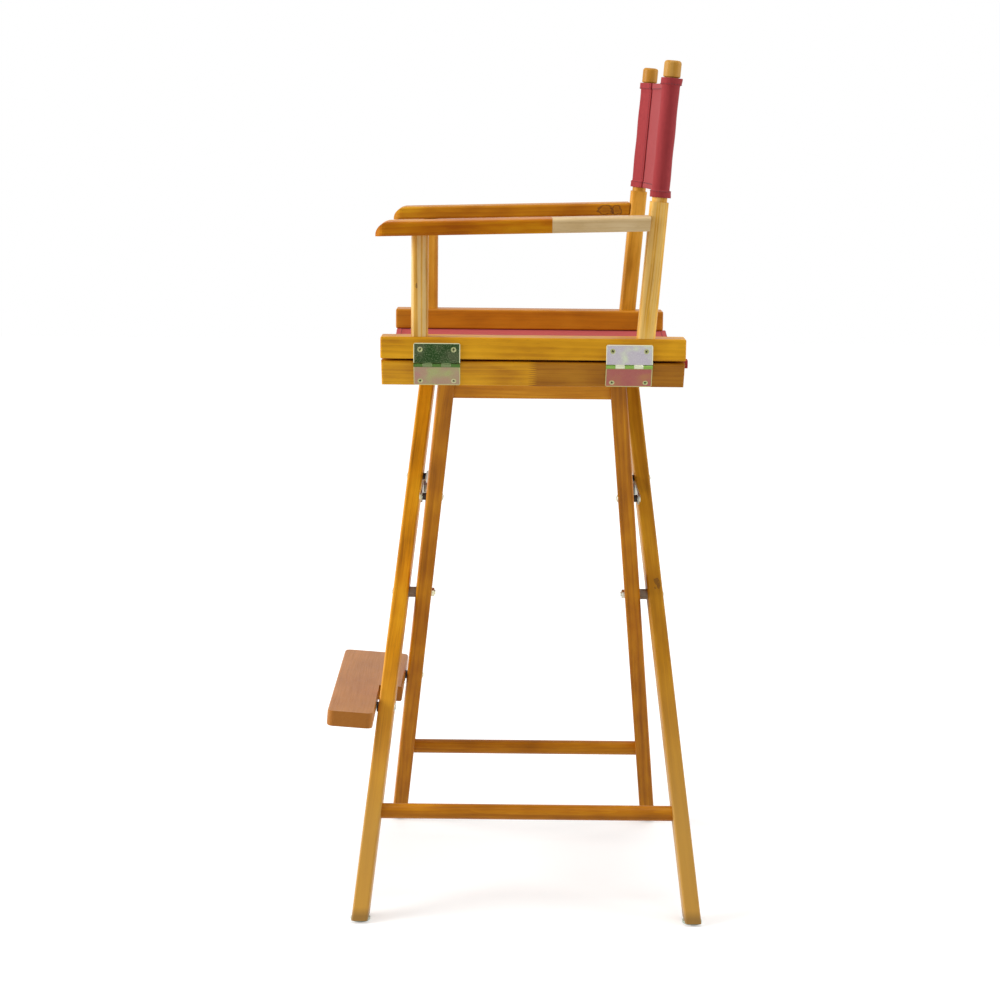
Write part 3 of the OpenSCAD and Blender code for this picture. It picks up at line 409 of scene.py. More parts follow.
@dataclass(frozen=True)
class LacqueredWood:
    """Stained hardwood under thin satin lacquer.

    The eye sees slow clouds of golden and russet stain, faint irregular grain lines, short
    dark pores, darker end grain and a soft reflection of the room at grazing angles. The
    sizes of patches are across and along the grain.
    """

    shades: Shades
    cloud_share: float = 2.0  # how far the clouds of stain move the colour
    ring_share: float = 0.16  # how dark the latewood gets
    line_share: float = 1.0   # how far the grain lines move the colour
    gloss: float = 0.14       # specular level
    coat: float = 0.04
    ior: float = 1.5
    stripe: str = ""          # colour of the pale straight stripes of quarter-sawn stock
    stripe_from: float = 0.64  # noise level where a stripe begins
    stripe_share: float = 0.62
    fibre_share: float = 0.45
    end_share: float = 0.6    # how much darker the end grain drinks the stain
    roughness: float = 0.42
    ring_mm: float = 7.0      # growth ring spacing
    sway_mm: tuple[float, float] = (42, 300)    # how the trunk wanders
    cloud_mm: tuple[float, float] = (34, 85)
    line_mm: tuple[float, float] = (4.5, 420)
    fibre_mm: tuple[float, float] = (1.6, 55)   # real fibres are finer and wouldn't show
    pore_mm: tuple[float, float] = (1.1, 9)     # so are real pores
    pore: str = "#6d3a10"
    apart: float = 1.7        # metres along the tree from board to board
    beyond: Axis = (0.013, 0.021, 0.37)         # and from a board to the stock past its joint
    heart: float = 0.055                        # how far boards lie from the tree's heart
    heart_shift: float = 0.02                   # and one way more than the other
    sway: float = 0.016                         # how far the slow noise bends the grain

    def dress(
        self,
        node: str,
        grain: Axis,
        seed: int,
        joints: tuple[Joint, ...] = (),
        knots: tuple[Knot, ...] = (),
        fades: tuple[Fade, ...] = (),
    ) -> None:
        """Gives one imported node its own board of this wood.

        Each place in the node is turned so that its grain lies along the tree's Z, and
        moved along it by the seed, so that no two boards share their figure.

        Args:
            node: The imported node.
            grain: The direction that the fibres run in.
            seed: Which part of the endless tree the board is cut from.
            joints: Glued joints in it.
            knots: Knots and flecks in it.
            fades: Other colours towards its ends.
        """
        graph = new_material(f"wood_{node}")
        shades = [linear(shade) for shade in self.shades]
        shift = None
        for joint in joints:
            shift = joint.beyond(graph)
            pairs = zip(shades, joint.shades)
            shades = [graph.add("Mix", shift, near, linear(far)) for near, far in pairs]
        along = Vector(grain).normalized()
        turn = along.rotation_difference(Vector((0, 0, 1))).to_euler()
        board = graph.add("Mapping", graph.place, Rotation=turn, Location=(0, 0, seed * self.apart))
        if shift is not None:
            board = graph.add("VectorMath.MULTIPLY_ADD", shift, self.beyond, board)
        colour, relief = self.figure(graph, board, seed, shades)
        height = graph.add("SeparateXYZ", graph.place, out="Z")
        for fade in fades:
            reach = graph.add("MapRange", height, fade.start, fade.end, 0.0, fade.share)
            colour = graph.add("Mix", reach, colour, linear(fade.colour))
        for knot in knots:
            colour = knot.darken(graph, colour)
        facing = graph.add("TexCoord", out="Normal")
        cut = graph.add("VectorMath.DOT_PRODUCT", facing, tuple(along), out="Value")
        cut = graph.add("MapRange", graph.add("Math.ABSOLUTE", cut), 0.6, 0.95, 0.0, self.end_share)
        colour = graph.add("Mix", cut, colour, shades[2])
        dullest, glossiest = self.roughness + 0.09, self.roughness - 0.05
        shader = graph.add(
            "BsdfPrincipled",
            Base_Color=colour,
            Roughness=graph.add("MapRange", relief, 0.0, 1.0, glossiest, dullest),
            Normal=graph.add("Bump", Strength=0.2, Distance=0.12 * MM, Height=relief),
            IOR=self.ior,
            Specular_IOR_Level=self.gloss,
            Coat_Weight=self.coat,
            Coat_Roughness=0.22,
        )
        paint(node, graph.finish(shader))

    def figure(
        self, graph: Graph, board: Socket, seed: int, shades: list[Colour | Socket]
    ) -> tuple[Socket, Socket]:
        """Draws clouds of stain, rings, grain lines, fibres and pores.

        The place is pushed about by slow noise. Rings are the part after the point of its
        distance from the tree's middle over the ring spacing, raised to 2.2. Their sum
        with noises that are long along Z picks a shade from light over middle to dark.

        Args:
            graph: The material.
            board: The place in the tree, whose grain runs along Z.
            seed: Which part of the tree.
            shades: The light, middle and dark colours or sockets.

        Returns:
            The colour socket and a relief socket from 0 to 1.
        """
        angle = seed * GOLDEN_ANGLE
        tree = (self.heart * math.cos(angle) + self.heart_shift, self.heart * math.sin(angle), 0)
        bend = self.streaks(graph, board, self.sway_mm, 2.0, "Color")
        push = graph.add("VectorMath.MULTIPLY_ADD", bend, (self.sway, self.sway, 0.0), board)
        flat = graph.add("VectorMath.MULTIPLY_ADD", push, (1, 1, 0), tree)
        radius = graph.add("VectorMath.LENGTH", flat, out="Value")
        turns = graph.add("Math.MULTIPLY", radius, pitch(self.ring_mm))
        late = graph.add("Math.POWER", graph.add("Math.FRACT", turns), 2.2)
        line = self.streaks(graph, push, self.line_mm, 2.0)
        fibre = self.streaks(graph, push, self.fibre_mm, 3.0)
        grit = self.streaks(graph, push, self.pore_mm, 1.0)
        pore = graph.add("MapRange", grit, 0.62, 0.74, 0.0, 1.0)
        cloud = self.streaks(graph, board, self.cloud_mm, 2.5)
        parts = (
            (late, self.ring_share),
            (line, self.line_share),
            (fibre, self.fibre_share),
            (cloud, self.cloud_share),
        )
        # Noise is 0.5 on average, and the ring's power is 0.3.
        start = 0.5 - (self.cloud_share + self.line_share + self.fibre_share) / 2
        amount = graph.total(start - 0.3 * self.ring_share, parts)
        colour = shades[0]
        for low, shade in ((0.0, shades[1]), (0.5, shades[2])):
            reach = graph.add("MapRange", amount, low, low + 0.5, 0.0, 1.0)
            colour = graph.add("Mix", reach, colour, shade)
        if self.stripe:
            wide = self.streaks(graph, push, (6, 1500), 1.0)
            fine = self.streaks(graph, push, (2.4, 1500), 1.0)
            both = graph.add("Math.MULTIPLY_ADD", fine, 0.35, wide)
            level = self.stripe_from
            band = graph.add("MapRange", both, level, level + 0.07, 0.0, self.stripe_share)
            colour = graph.add("Mix", band, colour, linear(self.stripe))
        speck = graph.add("Math.MULTIPLY", pore, 0.14)
        colour = graph.add("Mix", speck, colour, linear(self.pore))
        return colour, graph.add("Math.SUBTRACT", fibre, pore, use_clamp=True)

    @staticmethod
    def streaks(
        graph: Graph, board: Socket, size_mm: tuple[float, float], detail: float, out: str = "Fac"
    ) -> Socket:
        """Adds noise that is longer along the grain.

        Args:
            graph: The material.
            board: The place in the tree.
            size_mm: The patches' size across and along the grain.
            detail: How many finer layers it has.
            out: The noise's output.

        Returns:
            That output.
        """
        across, along = (pitch(size) for size in size_mm)
        scaled = graph.add("VectorMath.MULTIPLY", board, (across, across, along))
        return graph.add("TexNoise", scaled, Scale=1.0, Detail=detail, out=out)


@dataclass(frozen=True)
class CottonCanvas:
    """Dyed plain-weave cotton duck.

    The eye sees a matt cloth with a fine even weave, threads of slightly different
    depth of dye and a faint bright fuzz towards its outline.
    """

    name: str
    dye: str
    deep: str
    fuzz: str = "#f2c4c4"
    thread_mm: float = 1.6    # real threads are half as wide and wouldn't show

    def material(self) -> Material:
        """Builds the canvas material on the cloth's own lengths.

        Warp and weft are sine waves of the UV place, one along each side of the cloth.
        Where their product is high a thread comes to the front.

        Returns:
            The material.
        """
        graph = new_material(self.name)
        cloth = graph.add("UVMap", uv_map="cloth")
        wave = 2 * math.pi * pitch(self.thread_mm * 2)
        parts = graph.add("VectorMath.MULTIPLY", cloth, (wave, wave, 0))
        yarns = [graph.add("Math.SINE", graph.add("SeparateXYZ", parts, out=axis)) for axis in "XY"]
        level = graph.add("MapRange", graph.add("Math.MULTIPLY", *yarns), -1.0, 1.0, 0.0, 1.0)
        slub = graph.add("VectorMath.MULTIPLY", cloth, (pitch(2.5), pitch(30), 0))
        streak = graph.add("TexNoise", slub, Scale=1.0, Detail=2.0)
        mottle = graph.add("TexNoise", cloth, Scale=pitch(5), Detail=4.0)
        share = graph.total(-0.15, ((streak, 0.7), (mottle, 0.6), (level, -0.25)))
        shader = graph.add(
            "BsdfPrincipled",
            Base_Color=graph.add("Mix", share, linear(self.dye), linear(self.deep)),
            Roughness=0.88,
            Normal=graph.add("Bump", Strength=0.35, Distance=0.3 * MM, Height=level),
            Sheen_Weight=0.15,
            Sheen_Roughness=0.5,
            Sheen_Tint=linear(self.fuzz),
            Specular_IOR_Level=0.2,
        )
        return graph.finish(shader)


@dataclass(frozen=True)
class PolyThread:
    """Sewing thread: spun polyester, a little glossier and darker than the canvas."""

    dye: str = "#5c1a22"
    deep: str = "#46141c"

    def material(self) -> Material:
        """Builds the thread material, its ply a noise 0.8 mm wide.

        Returns:
            The material.
        """
        graph = new_material("dark_red_thread")
        ply = graph.add("TexNoise", graph.place, Scale=pitch(0.8), Detail=1.0)
        colour = graph.add("Mix", ply, linear(self.dye), linear(self.deep))
        return graph.finish(graph.add("BsdfPrincipled", Base_Color=colour, Roughness=0.6))


@dataclass(frozen=True)
class PlatedSteel:
    """Pressed or turned steel with electroplated zinc.

    The eye sees a silver or straw film, faint specks where it is dull, and a soft
    reflection. Where a piece has a recess attribute, its recesses get a painted shade.
    """

    name: str
    base: str
    cloud: str
    roughness: float = 0.3
    recess: str = ""
    # painted shade: the dark colour mixed into the screws' cross recesses by their depth
    dirt: str = "#2c2c18"

    def material(self) -> Material:
        """Builds the plating, its clouds 14 mm wide.

        Returns:
            The material.
        """
        graph = new_material(self.name)
        share = graph.patches(graph.place, 14, 1.5, 0.46, 0.6, 0.85)
        colour = graph.add("Mix", share, linear(self.base), linear(self.cloud))
        if self.recess:
            # painted shade, darkest at the bottom of each recess
            deep = graph.add("Attribute", out="Fac", attribute_name=self.recess)
            colour = graph.add("Mix", deep, colour, linear(self.dirt))
        return self.shade(graph, colour, self.roughness)

    @staticmethod
    def shade(graph: Graph, colour: Socket, roughness: float) -> Material:
        """Makes the metal's shader, rougher where specks 1.6 mm wide are high.

        Args:
            graph: The material.
            colour: The film's colour.
            roughness: What its roughness varies round, by 0.08 under and 0.12 over.

        Returns:
            The finished material.
        """
        speck = graph.add("TexNoise", graph.place, Scale=pitch(1.6), Detail=4.0)
        shader = graph.add(
            "BsdfPrincipled",
            Base_Color=colour,
            Metallic=1.0,
            Roughness=graph.add("MapRange", speck, 0.3, 0.7, roughness - 0.08, roughness + 0.12),
            Normal=graph.add("Bump", Strength=0.15, Distance=0.1 * MM, Height=speck),
        )
        return graph.finish(shader)


@dataclass(frozen=True)
class Film:
    """The chromate film on one leaf: its main colour, two clouds, specks and knuckles."""

    base: str
    clouds: tuple[str, str]
    speck: str
    knuckle: str
    speck_share: float = 0.3

    def colour(self, graph: Graph) -> Socket:
        """Lays two clouds 24 mm wide and fine specks over the main colour.

        Args:
            graph: The material.

        Returns:
            The film's colour.
        """
        colour = linear(self.base)
        for number, cloud in enumerate(self.clouds):
            moved = graph.add("VectorMath", graph.place, (0.37 * number, 0.71 * number, 0.53))
            share = graph.patches(moved, 24, 1.5, 0.40, 0.58, 0.9)
            colour = graph.add("Mix", share, colour, linear(cloud))
        dust = graph.patches(graph.place, 1.5, 3.0, 0.5, 0.68, self.speck_share)
        return graph.add("Mix", dust, colour, linear(self.speck))


@dataclass(frozen=True)
class ChromatedLeaves:
    """The front and the rear leaf of one rail, each with its own film and painted edge highlights.
    """

    name: str
    front: Film
    rear: Film
    # colour of the painted highlight along the leaves' edges
    edge: str
    length: float = 61 * MM
    rim: tuple[float, float] = (0.6 * MM, 1.2 * MM)    # the painted edge highlight ends between these
    roll: tuple[float, float] = (5.0 * MM, 6.2 * MM)   # and the knuckles' colour here
    roughness: float = 0.33

    def material(self, node: str, upper: bool) -> Material:
        """Builds the leaves' finish from the box of one packed pair of leaves.

        The distance to a leaf's nearest edge is the smaller of half its length less its
        place along Y and its height less its distance from the knuckles' side.

        Args:
            node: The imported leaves.
            upper: Whether the knuckles are below the leaves.

        Returns:
            The material.
        """
        graph = new_material(self.name)
        low, high = corners(node)
        middle = (low[1] + high[1]) / 2
        y, z = (graph.add("SeparateXYZ", graph.place, out=axis) for axis in "YZ")
        rear = graph.add("Math.GREATER_THAN", y, middle)
        films = [film.colour(graph) for film in (self.front, self.rear)]
        colour = graph.add("Mix", rear, *films)
        across = y
        for less in (middle, (high[1] - low[1] - self.length) / 2):
            across = graph.add("Math.ABSOLUTE", graph.add("Math.SUBTRACT", across, less))
        side = graph.add("Math.SUBTRACT", self.length / 2, across)
        ends = (z, low[2]) if upper else (high[2], z)
        reach = graph.add("Math.SUBTRACT", *ends)
        outer = graph.add("Math.SUBTRACT", high[2] - low[2], reach)
        near = graph.add("Math.MINIMUM", side, outer)
        # painted highlight: a pale rim along each leaf's outer edges
        rim = graph.add("MapRange", near, *self.rim, 0.85, 0.0)
        colour = graph.add("Mix", rim, colour, linear(self.edge))
        knuckles = graph.add("Mix", rear, linear(self.front.knuckle), linear(self.rear.knuckle))
        roll = graph.add("MapRange", reach, *self.roll, 1.0, 0.0)
        colour = graph.add("Mix", roll, colour, knuckles)
        return PlatedSteel.shade(graph, colour, self.roughness)


@dataclass(frozen=True)
class MouldedPlastic:
    """Injection moulded nylon or polyethylene with a fine spark-eroded texture.

    The eye sees an even matt colour, a little paler or darker where it has worn.
    """

    name: str
    colour: str
    worn: str
    roughness: float = 0.55
    ior: float = 1.53

    def material(self) -> Material:
        """Builds the plastic: 12 mm patches of wear and a 1.2 mm grain in its bump.

        Returns:
            The material.
        """
        graph = new_material(self.name)
        share = graph.patches(graph.place, 12, 3.0, 0.42, 0.68, 1.0)
        grain = graph.add("TexNoise", graph.place, Scale=pitch(1.2), Detail=2.0)
        shader = graph.add(
            "BsdfPrincipled",
            Base_Color=graph.add("Mix", share, linear(self.colour), linear(self.worn)),
            Roughness=self.roughness,
            Normal=graph.add("Bump", Strength=0.2, Distance=0.1 * MM, Height=grain),
            IOR=self.ior,
        )
        return graph.finish(shader)


# ---- woodwork ----


class End(Enum):
    """The front or the rear legs, with the sign of their Y."""

    FRONT = -1
    REAR = 1


class Side(Enum):
    """A leg frame and the arm on its rail, with the sign of that rail's X."""

    OUTER = -1
    INNER = 1

    @property
    def frame(self) -> str:
        """The leg frame's name."""
        return self.name.lower()

    @property
    def arm(self) -> str:
        """The name of the arm on its rail."""
        return "right" if self is Side.OUTER else "left"


@dataclass
class Woodwork:
    """All wooden pieces: two leg frames, two arms and the footrest."""

    honey: LacqueredWood = LacqueredWood(("#e8a81c", "#d08a0c", "#a06408"), cloud_share=1.6)
    tan: LacqueredWood = LacqueredWood(("#c48e1c", "#ae7612", "#94600c"), cloud_share=1.4)
    golden: LacqueredWood = LacqueredWood(
        ("#e4a61c", "#d09212", "#ac6c0c"), ring_share=0.2, line_share=0.8
    )
    brown: LacqueredWood = LacqueredWood(("#cc8814", "#b06c0a", "#905406"), cloud_share=1.6)
    joined: LacqueredWood = LacqueredWood(("#d89420", "#c07a10", "#a06008"), cloud_share=1.6)
    russet: LacqueredWood = LacqueredWood(
        ("#cc8c10", "#b46a06", "#984e04"), line_share=0.5, gloss=0.07, coat=0.0
    )
    chestnut: LacqueredWood = LacqueredWood(
        ("#d0981c", "#b87814", "#a06010"), line_share=0.5, gloss=0.07, coat=0.0
    )
    orange: LacqueredWood = LacqueredWood(("#cc881c", "#bc7814", "#a46410"), line_share=0.5)
    pale: LacqueredWood = LacqueredWood(
        ("#e8b860", "#dca648", "#b88430"),
        cloud_share=2.4,
        ring_share=0.3,
        line_share=0.8,
        stripe="#e8cc90",
    )
    straw: LacqueredWood = LacqueredWood(("#dca43c", "#cc9028", "#b07418"), stripe="#dcb878")
    amber: LacqueredWood = LacqueredWood(
        ("#eebe5c", "#dca43a", "#b47c20"),
        cloud_share=2.4,
        ring_share=0.3,
        line_share=0.8,
        stripe="#ecc678",
    )
    ochre: LacqueredWood = LacqueredWood(("#dca038", "#c88c24", "#a87014"), cloud_share=2.4)
    plank: LacqueredWood = LacqueredWood(
        ("#be7c30", "#a86a20", "#9a5c12"),
        cloud_share=1.2,
        ring_share=0.1,
        line_share=0.4,
        gloss=0.5,
        coat=0.08,
        ior=1.3,
    )
    worn: Fade = Fade(0.33, 0.12, "#b98c40", 0.85)       # the outer legs pale downwards
    dirty: Fade = Fade(0.020, 0.010, "#6e5430", 0.6)     # and are dark at the floor
    comb: Shades = ("#b87c18", "#a4680c", "#885004")     # past the seat rail's finger joint
    splice: Shades = ("#d6bc90", "#c6a878", "#b09060")   # the left armrest's rear half
    stain_rise: float = 0.555                            # how far up its leg the smudge is
    fleck_y: float = 0.32                                # share of the left front post's depth
    fleck_z: float = 0.864                               # height of that post's fleck
    # how far each knot lies from the right armrest's rear end, and half its length
    knots_mm: tuple[tuple[int, int], ...] = ((36, 12), (20, 8))
    seeds: Iterator[int] = field(default_factory=lambda: itertools.count(2))

    def build(self) -> None:
        """Dresses every wooden node. The order settles which board each is cut from."""
        for dress in (self.legs, self.rails, self.arm):
            for side in Side:
                dress(side)
        self.plank.dress("footrest_plank", (1, 0, 0), next(self.seeds))

    @property
    def middle(self) -> float:
        """Y of the rails' middle."""
        low, high = corners("outer_seat_rail")
        return float(low[1] + high[1]) / 2

    def legs(self, side: Side) -> None:
        """Dresses two legs, their grain along each leg's own lean.

        Args:
            side: Their leg frame.
        """
        for end in End:
            node = f"{side.frame}_leg_{end.name.lower()}"
            across = side.value * math.sin(FRAME_LEAN)
            run = (across, -end.value * math.tan(LEG_SPLAY), math.cos(FRAME_LEAN))
            finish, knots, fades = self.brown, (), ()
            if side is Side.OUTER:
                finish, fades = self.honey, (self.worn, self.dirty)
            if node == "outer_leg_rear":
                finish, rise = self.tan, self.stain_rise
                low, high = corners(node)
                at = low + (high - low) * (1 - rise, 1 - rise, rise) + (0, 4 * MM, 0)
                knots = (Knot(tuple(at), (18, 7, 11), 0.5),)
            finish.dress(node, run, next(self.seeds), knots=knots, fades=fades)

    def rails(self, side: Side) -> None:
        """Dresses the rails and the stretcher, which run front to back.

        Args:
            side: Their leg frame.
        """
        run = (0, 1, 0)
        comb = Joint(self.middle + 6 * MM, self.comb, comb_mm=3.0, length_mm=13)
        joints = (comb,) if side is Side.INNER else ()
        self.golden.dress(f"{side.frame}_seat_rail", run, next(self.seeds), joints)
        self.joined.dress(f"{side.frame}_cross_rail", run, next(self.seeds))
        self.brown.dress(f"{side.frame}_stretcher", run, next(self.seeds))

    def arm(self, side: Side) -> None:
        """Dresses an arm frame, with the glued joint, the fleck and the knots of its stock.

        Args:
            side: The leg frame that it stands on.
        """
        low, high = corners(f"{side.arm}_armrest")
        if side is Side.INNER:
            rail, front, rear, rest = self.golden, self.pale, self.amber, self.russet
            joints, knots = (Joint(self.middle + 22 * MM, self.splice),), ()
            post_low, post_high = corners("left_front_post")
            y = post_low[1] + self.fleck_y * (post_high[1] - post_low[1])
            flecks = (Knot((post_high[0], y, self.fleck_z), (4, 1.1, 3.0), 1.2),)
        else:
            rail, front, rear, rest = self.orange, self.straw, self.ochre, self.chestnut
            joints, flecks = (), ()
            knots = tuple(
                Knot((high[0], high[1] - back * MM, high[2] - 11 * MM), (9, size, 7), 0.6)
                for back, size in self.knots_mm
            )
        top = corners(f"{side.arm}_rear_post")[1][2]
        knob = Fade(top - 34 * MM, top - 24 * MM, "#a87428", 0.75)
        leaning = (0, math.sin(POST_LEAN), math.cos(POST_LEAN))
        along = (0, math.cos(ARM_RISE), math.sin(ARM_RISE))
        rail.dress(f"{side.arm}_arm_rail", (0, 1, 0), next(self.seeds))
        front.dress(f"{side.arm}_front_post", (0, 0, 1), next(self.seeds), knots=flecks)
        rear.dress(f"{side.arm}_rear_post", leaning, next(self.seeds), fades=(knob,))
        rest.dress(f"{side.arm}_armrest", along, next(self.seeds), joints, knots)


# ---- canvas ----


@dataclass
class Stitching:
    """Rows of lockstitch, each stitch a spindle of eight faces."""

    name: str
    pitch: float = 4.0 * MM
    length: float = 3.1 * MM
    width: float = 1.1 * MM
    proud: float = 0.1 * MM       # how far its middle stands off the cloth
    rows: list[tuple[Array, Array]] = field(default_factory=list)

    def row(self, points: Array, normal: Array, thick: Array, sign: int = 1) -> None:
        """Adds a seam to one face of a cloth.

        Args:
            points: A line of the cloth's middle points.
            normal: Its normals there.
            thick: Its thickness there.
            sign: 1 for the face that the normals point to, or -1 for the other.
        """
        outward = normal * sign
        self.rows.append((points + outward * (thick[:, None] / 2 + self.proud), outward))

    def build(self, thread: Material) -> Piece:
        """Places stitches evenly along every row.

        A stitch is an octahedron stretched along the seam: its two tips lie half a
        length along the line, and its waist is four points half a width away.

        Args:
            thread: The finish.

        Returns:
            The piece.
        """
        spindles = []
        step = 0.5 * MM
        for points, normal in self.rows:
            run = lengths(points)
            number = max(int(run[-1] / self.pitch), 1)
            at = (np.arange(number) + 0.5) * run[-1] / number
            centre = resample(points, run, at)
            up = unit(resample(normal, run, at))
            along = unit(resample(points, run, at + step) - resample(points, run, at - step))
            side = np.cross(up, along) * self.width / 2
            up, along = up * self.width / 2, along * self.length / 2
            corner = [-along, up, side, -up, -side, along]
            spindles.append(centre[:, None] + np.stack(corner, axis=1))
        vertices = np.concatenate(spindles)
        waist = [(1, 2), (2, 3), (3, 4), (4, 1)]
        faces = np.array([(0, b, a) for a, b in waist] + [(5, a, b) for a, b in waist])
        faces = faces + 6 * np.arange(len(vertices))[:, None, None]
        obj = new_mesh(self.name, vertices.reshape(-1, 3), faces.reshape(-1, 3), smooth=False)
        paint(obj, thread)
        return obj


@dataclass
class Cloth:
    """What both canvases share: a hem along each of two edges, folded double and sewn."""

    canvas: Material
    thread: Material
    thickness: float
    hem_extra: float              # what folding it double adds
    hem_blur: float               # half the width that a hem's edge fades over
    hem_steps: int
    steps: int                    # between the hems
    hem: float = 9 * MM           # width of a hem
    seam: float = 7.5 * MM        # from the edge to its stitches

    def between(self, low: float, high: float) -> Array:
        """Spaces the grid from one hemmed edge to the other, closer in the hems.

        Args:
            low: The first edge.
            high: The other edge.

        Returns:
            The places.
        """
        edge = self.hem + 1.2 * MM
        first = np.linspace(low, low + edge, self.hem_steps)[:-1]
        middle = np.linspace(low + edge, high - edge, self.steps)
        return np.concatenate([first, middle, np.linspace(high - edge, high, self.hem_steps)[1:]])

    def thick(self, edge: Array) -> Array:
        """Returns the thickness by the distance from the nearest hemmed edge."""
        hem = smoothstep(self.hem - self.hem_blur, self.hem + self.hem_blur, edge)
        return self.thickness + self.hem_extra * (1 - hem)

    def piece(
        self, name: str, points: Array, normal: Array, thick: Array, uv: list[Array]
    ) -> Piece:
        """Makes a closed piece of canvas.

        Args:
            name: Its name.
            points: The grid of its middle surface.
            normal: The normals there.
            thick: The thicknesses there.
            uv: The two cloth lengths there, which broadcast to the grid.

        Returns:
            The painted piece.
        """
        vertices, faces = shell(points, normal, thick)
        flat = np.stack(np.broadcast_arrays(*uv), axis=-1).reshape(-1, 2)
        obj = new_mesh(name, vertices, faces, np.concatenate([flat, flat]))
        paint(obj, self.canvas)
        return obj

    @staticmethod
    def declare(cloth: Piece, stitches: Piece, node: str, flat: tuple, rests_on: list[str]) -> None:
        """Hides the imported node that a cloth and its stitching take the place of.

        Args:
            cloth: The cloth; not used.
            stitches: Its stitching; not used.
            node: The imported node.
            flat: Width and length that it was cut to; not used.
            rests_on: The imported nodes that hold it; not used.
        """
        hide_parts(node)

    def sew(
        self,
        name: str,
        grid: tuple[Array, Array, Array],
        across: Array,
        faces: tuple[int, ...] = (1, -1),
    ) -> Stitching:
        """Sews both hems.

        Args:
            name: The stitching's name.
            grid: The middle points, normals and thicknesses, hems along the first axis.
            across: The places along the second axis, from edge to edge.
            faces: The faces that the stitches show on.

        Returns:
            The stitching, which can take more rows.
        """
        seams = Stitching(name)
        for target in (across[0] + self.seam, across[-1] - self.seam):
            column = int(np.argmin(np.abs(across - target)))
            for sign in faces:
                seams.row(*(values[:, column] for values in grid), sign)
        return seams


@dataclass
class SeatCloth(Cloth):
    """The seat: one canvas slung between the two rails, its ends sewn round steel rods."""

    thickness: float = 1.3 * MM
    hem_extra: float = 0.9 * MM
    hem_blur: float = 0.6 * MM
    hem_steps: int = 8
    steps: int = 62
    sag: float = 12 * MM
    bend: float = 2.2 * MM        # radius of its bend over the rail
    ease: float = 8 * MM          # how soon past the rail it sags
    dip: float = 2.5 * MM         # how much lower its free edges hang
    pucker: float = 0.9 * MM
    across: int = 600             # steps from rod to rod

    def build(self) -> None:
        """Makes the cloth, its hems and its stitching, looped round the rods on both rails."""
        low, high = corners("seat_canvas")
        rod_low, rod_high = corners("inner_seat_rod")
        rod = (rod_low + rod_high) / 2
        loop = (rod_high[2] - rod_low[2]) / 2 + self.thickness / 2 + 0.3 * MM
        level = high[2] - self.thickness / 2 - 0.1 * MM
        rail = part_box("left_arm_rail")[0][0]
        profile = self.profile((rod[0], rod[2]), loop, level, rail + 4 * MM)
        run = lengths(profile)
        y = self.between(low[1], high[1])
        points = self.spread(profile, y, rail + 2 * MM)
        normal = grid_normals(points)
        edge = np.minimum(y - low[1], high[1] - y)
        flat_part = np.abs(profile[:, :1]) < rod[0] - 2 * loop
        thick = np.where(flat_part, self.thick(edge), self.thickness)
        cloth = self.piece("seat_cloth", points, normal, thick, [run[:, None], y])
        inside = np.abs(profile[:, 0]) < rod[0] - 3 * loop
        grid = (points[inside], normal[inside], thick[inside])
        stitches = self.sew("seat_stitching", grid, y).build(self.thread)
        for piece in (cloth, stitches):
            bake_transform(piece)
        rails = ["outer_seat_rail", "inner_seat_rail"]
        self.declare(cloth, stitches, "seat_canvas", (run[-1], high[1] - low[1]), rails)

    def profile(self, rod: tuple[float, float], loop: float, level: float, edge: float) -> Array:
        """Traces the cloth across the chair, from one rod to the other.

        It turns once round a rod, rises out of the groove, bends over the rail and sags
        to the middle as a parabola. The other half is its mirror image.

        Args:
            rod: X and Z of the left rod.
            loop: Radius of the cloth's middle round a rod.
            level: Height of the cloth on the rail.
            edge: X where the cloth comes free of the rail.

        Returns:
            Points from left to right as n by 2 of X and Z, evenly spaced.
        """
        turn = np.linspace(math.radians(60), math.radians(360), 26)
        ring = np.array(rod) + loop * np.stack([np.cos(turn), np.sin(turn)], axis=-1)
        arc = np.linspace(0, math.pi / 2, 8)
        corner = np.array([rod[0] + loop - self.bend, level - self.bend])
        over = corner + self.bend * np.stack([np.cos(arc), np.sin(arc)], axis=-1)
        x = np.linspace(edge, 0, 60)
        fall = self.sag * (1 - (x / edge) ** 2) * smoothstep(0, self.ease, edge - x)
        half = np.concatenate([ring, over, np.stack([x, level - fall], axis=-1)])
        line = np.concatenate([half, half[-2::-1] * (-1, 1)])
        run = lengths(line)
        keep = np.concatenate([[True], np.diff(run) > 1e-7])
        return resample(line[keep], run[keep], np.linspace(0, run[-1], self.across))

    def spread(self, profile: Array, y: Array, edge: float) -> Array:
        """Carries the profile from front to rear and lets the cloth settle.

        The free middle dips a little more at its two hems, where nothing pulls it
        level, and short puckers die out from each rail: height falls by a sine of Y
        times a decay of the distance from the rail.

        Args:
            profile: X and Z across the chair.
            y: The places from front to rear.
            edge: X of the rail's edge.

        Returns:
            The grid of points.
        """
        x, z = profile[:, :1], profile[:, 1:]
        free = np.clip(1 - (x / edge) ** 2, 0, 1)
        middle = (y[0] + y[-1]) / 2
        side = ((y - middle) / (y[-1] - middle)) ** 6
        away = np.clip((edge - np.abs(x)) / (60 * MM), 0, None)
        turn = 2 * math.pi * y
        wave = np.sin(turn * pitch(46) + 0.7) + 0.6 * np.sin(turn * pitch(29) + 2.1)
        z = z - self.dip * free * side + self.pucker * away * np.exp(-2.2 * away) * wave
        return np.stack(np.broadcast_arrays(x, y, z), axis=-1)


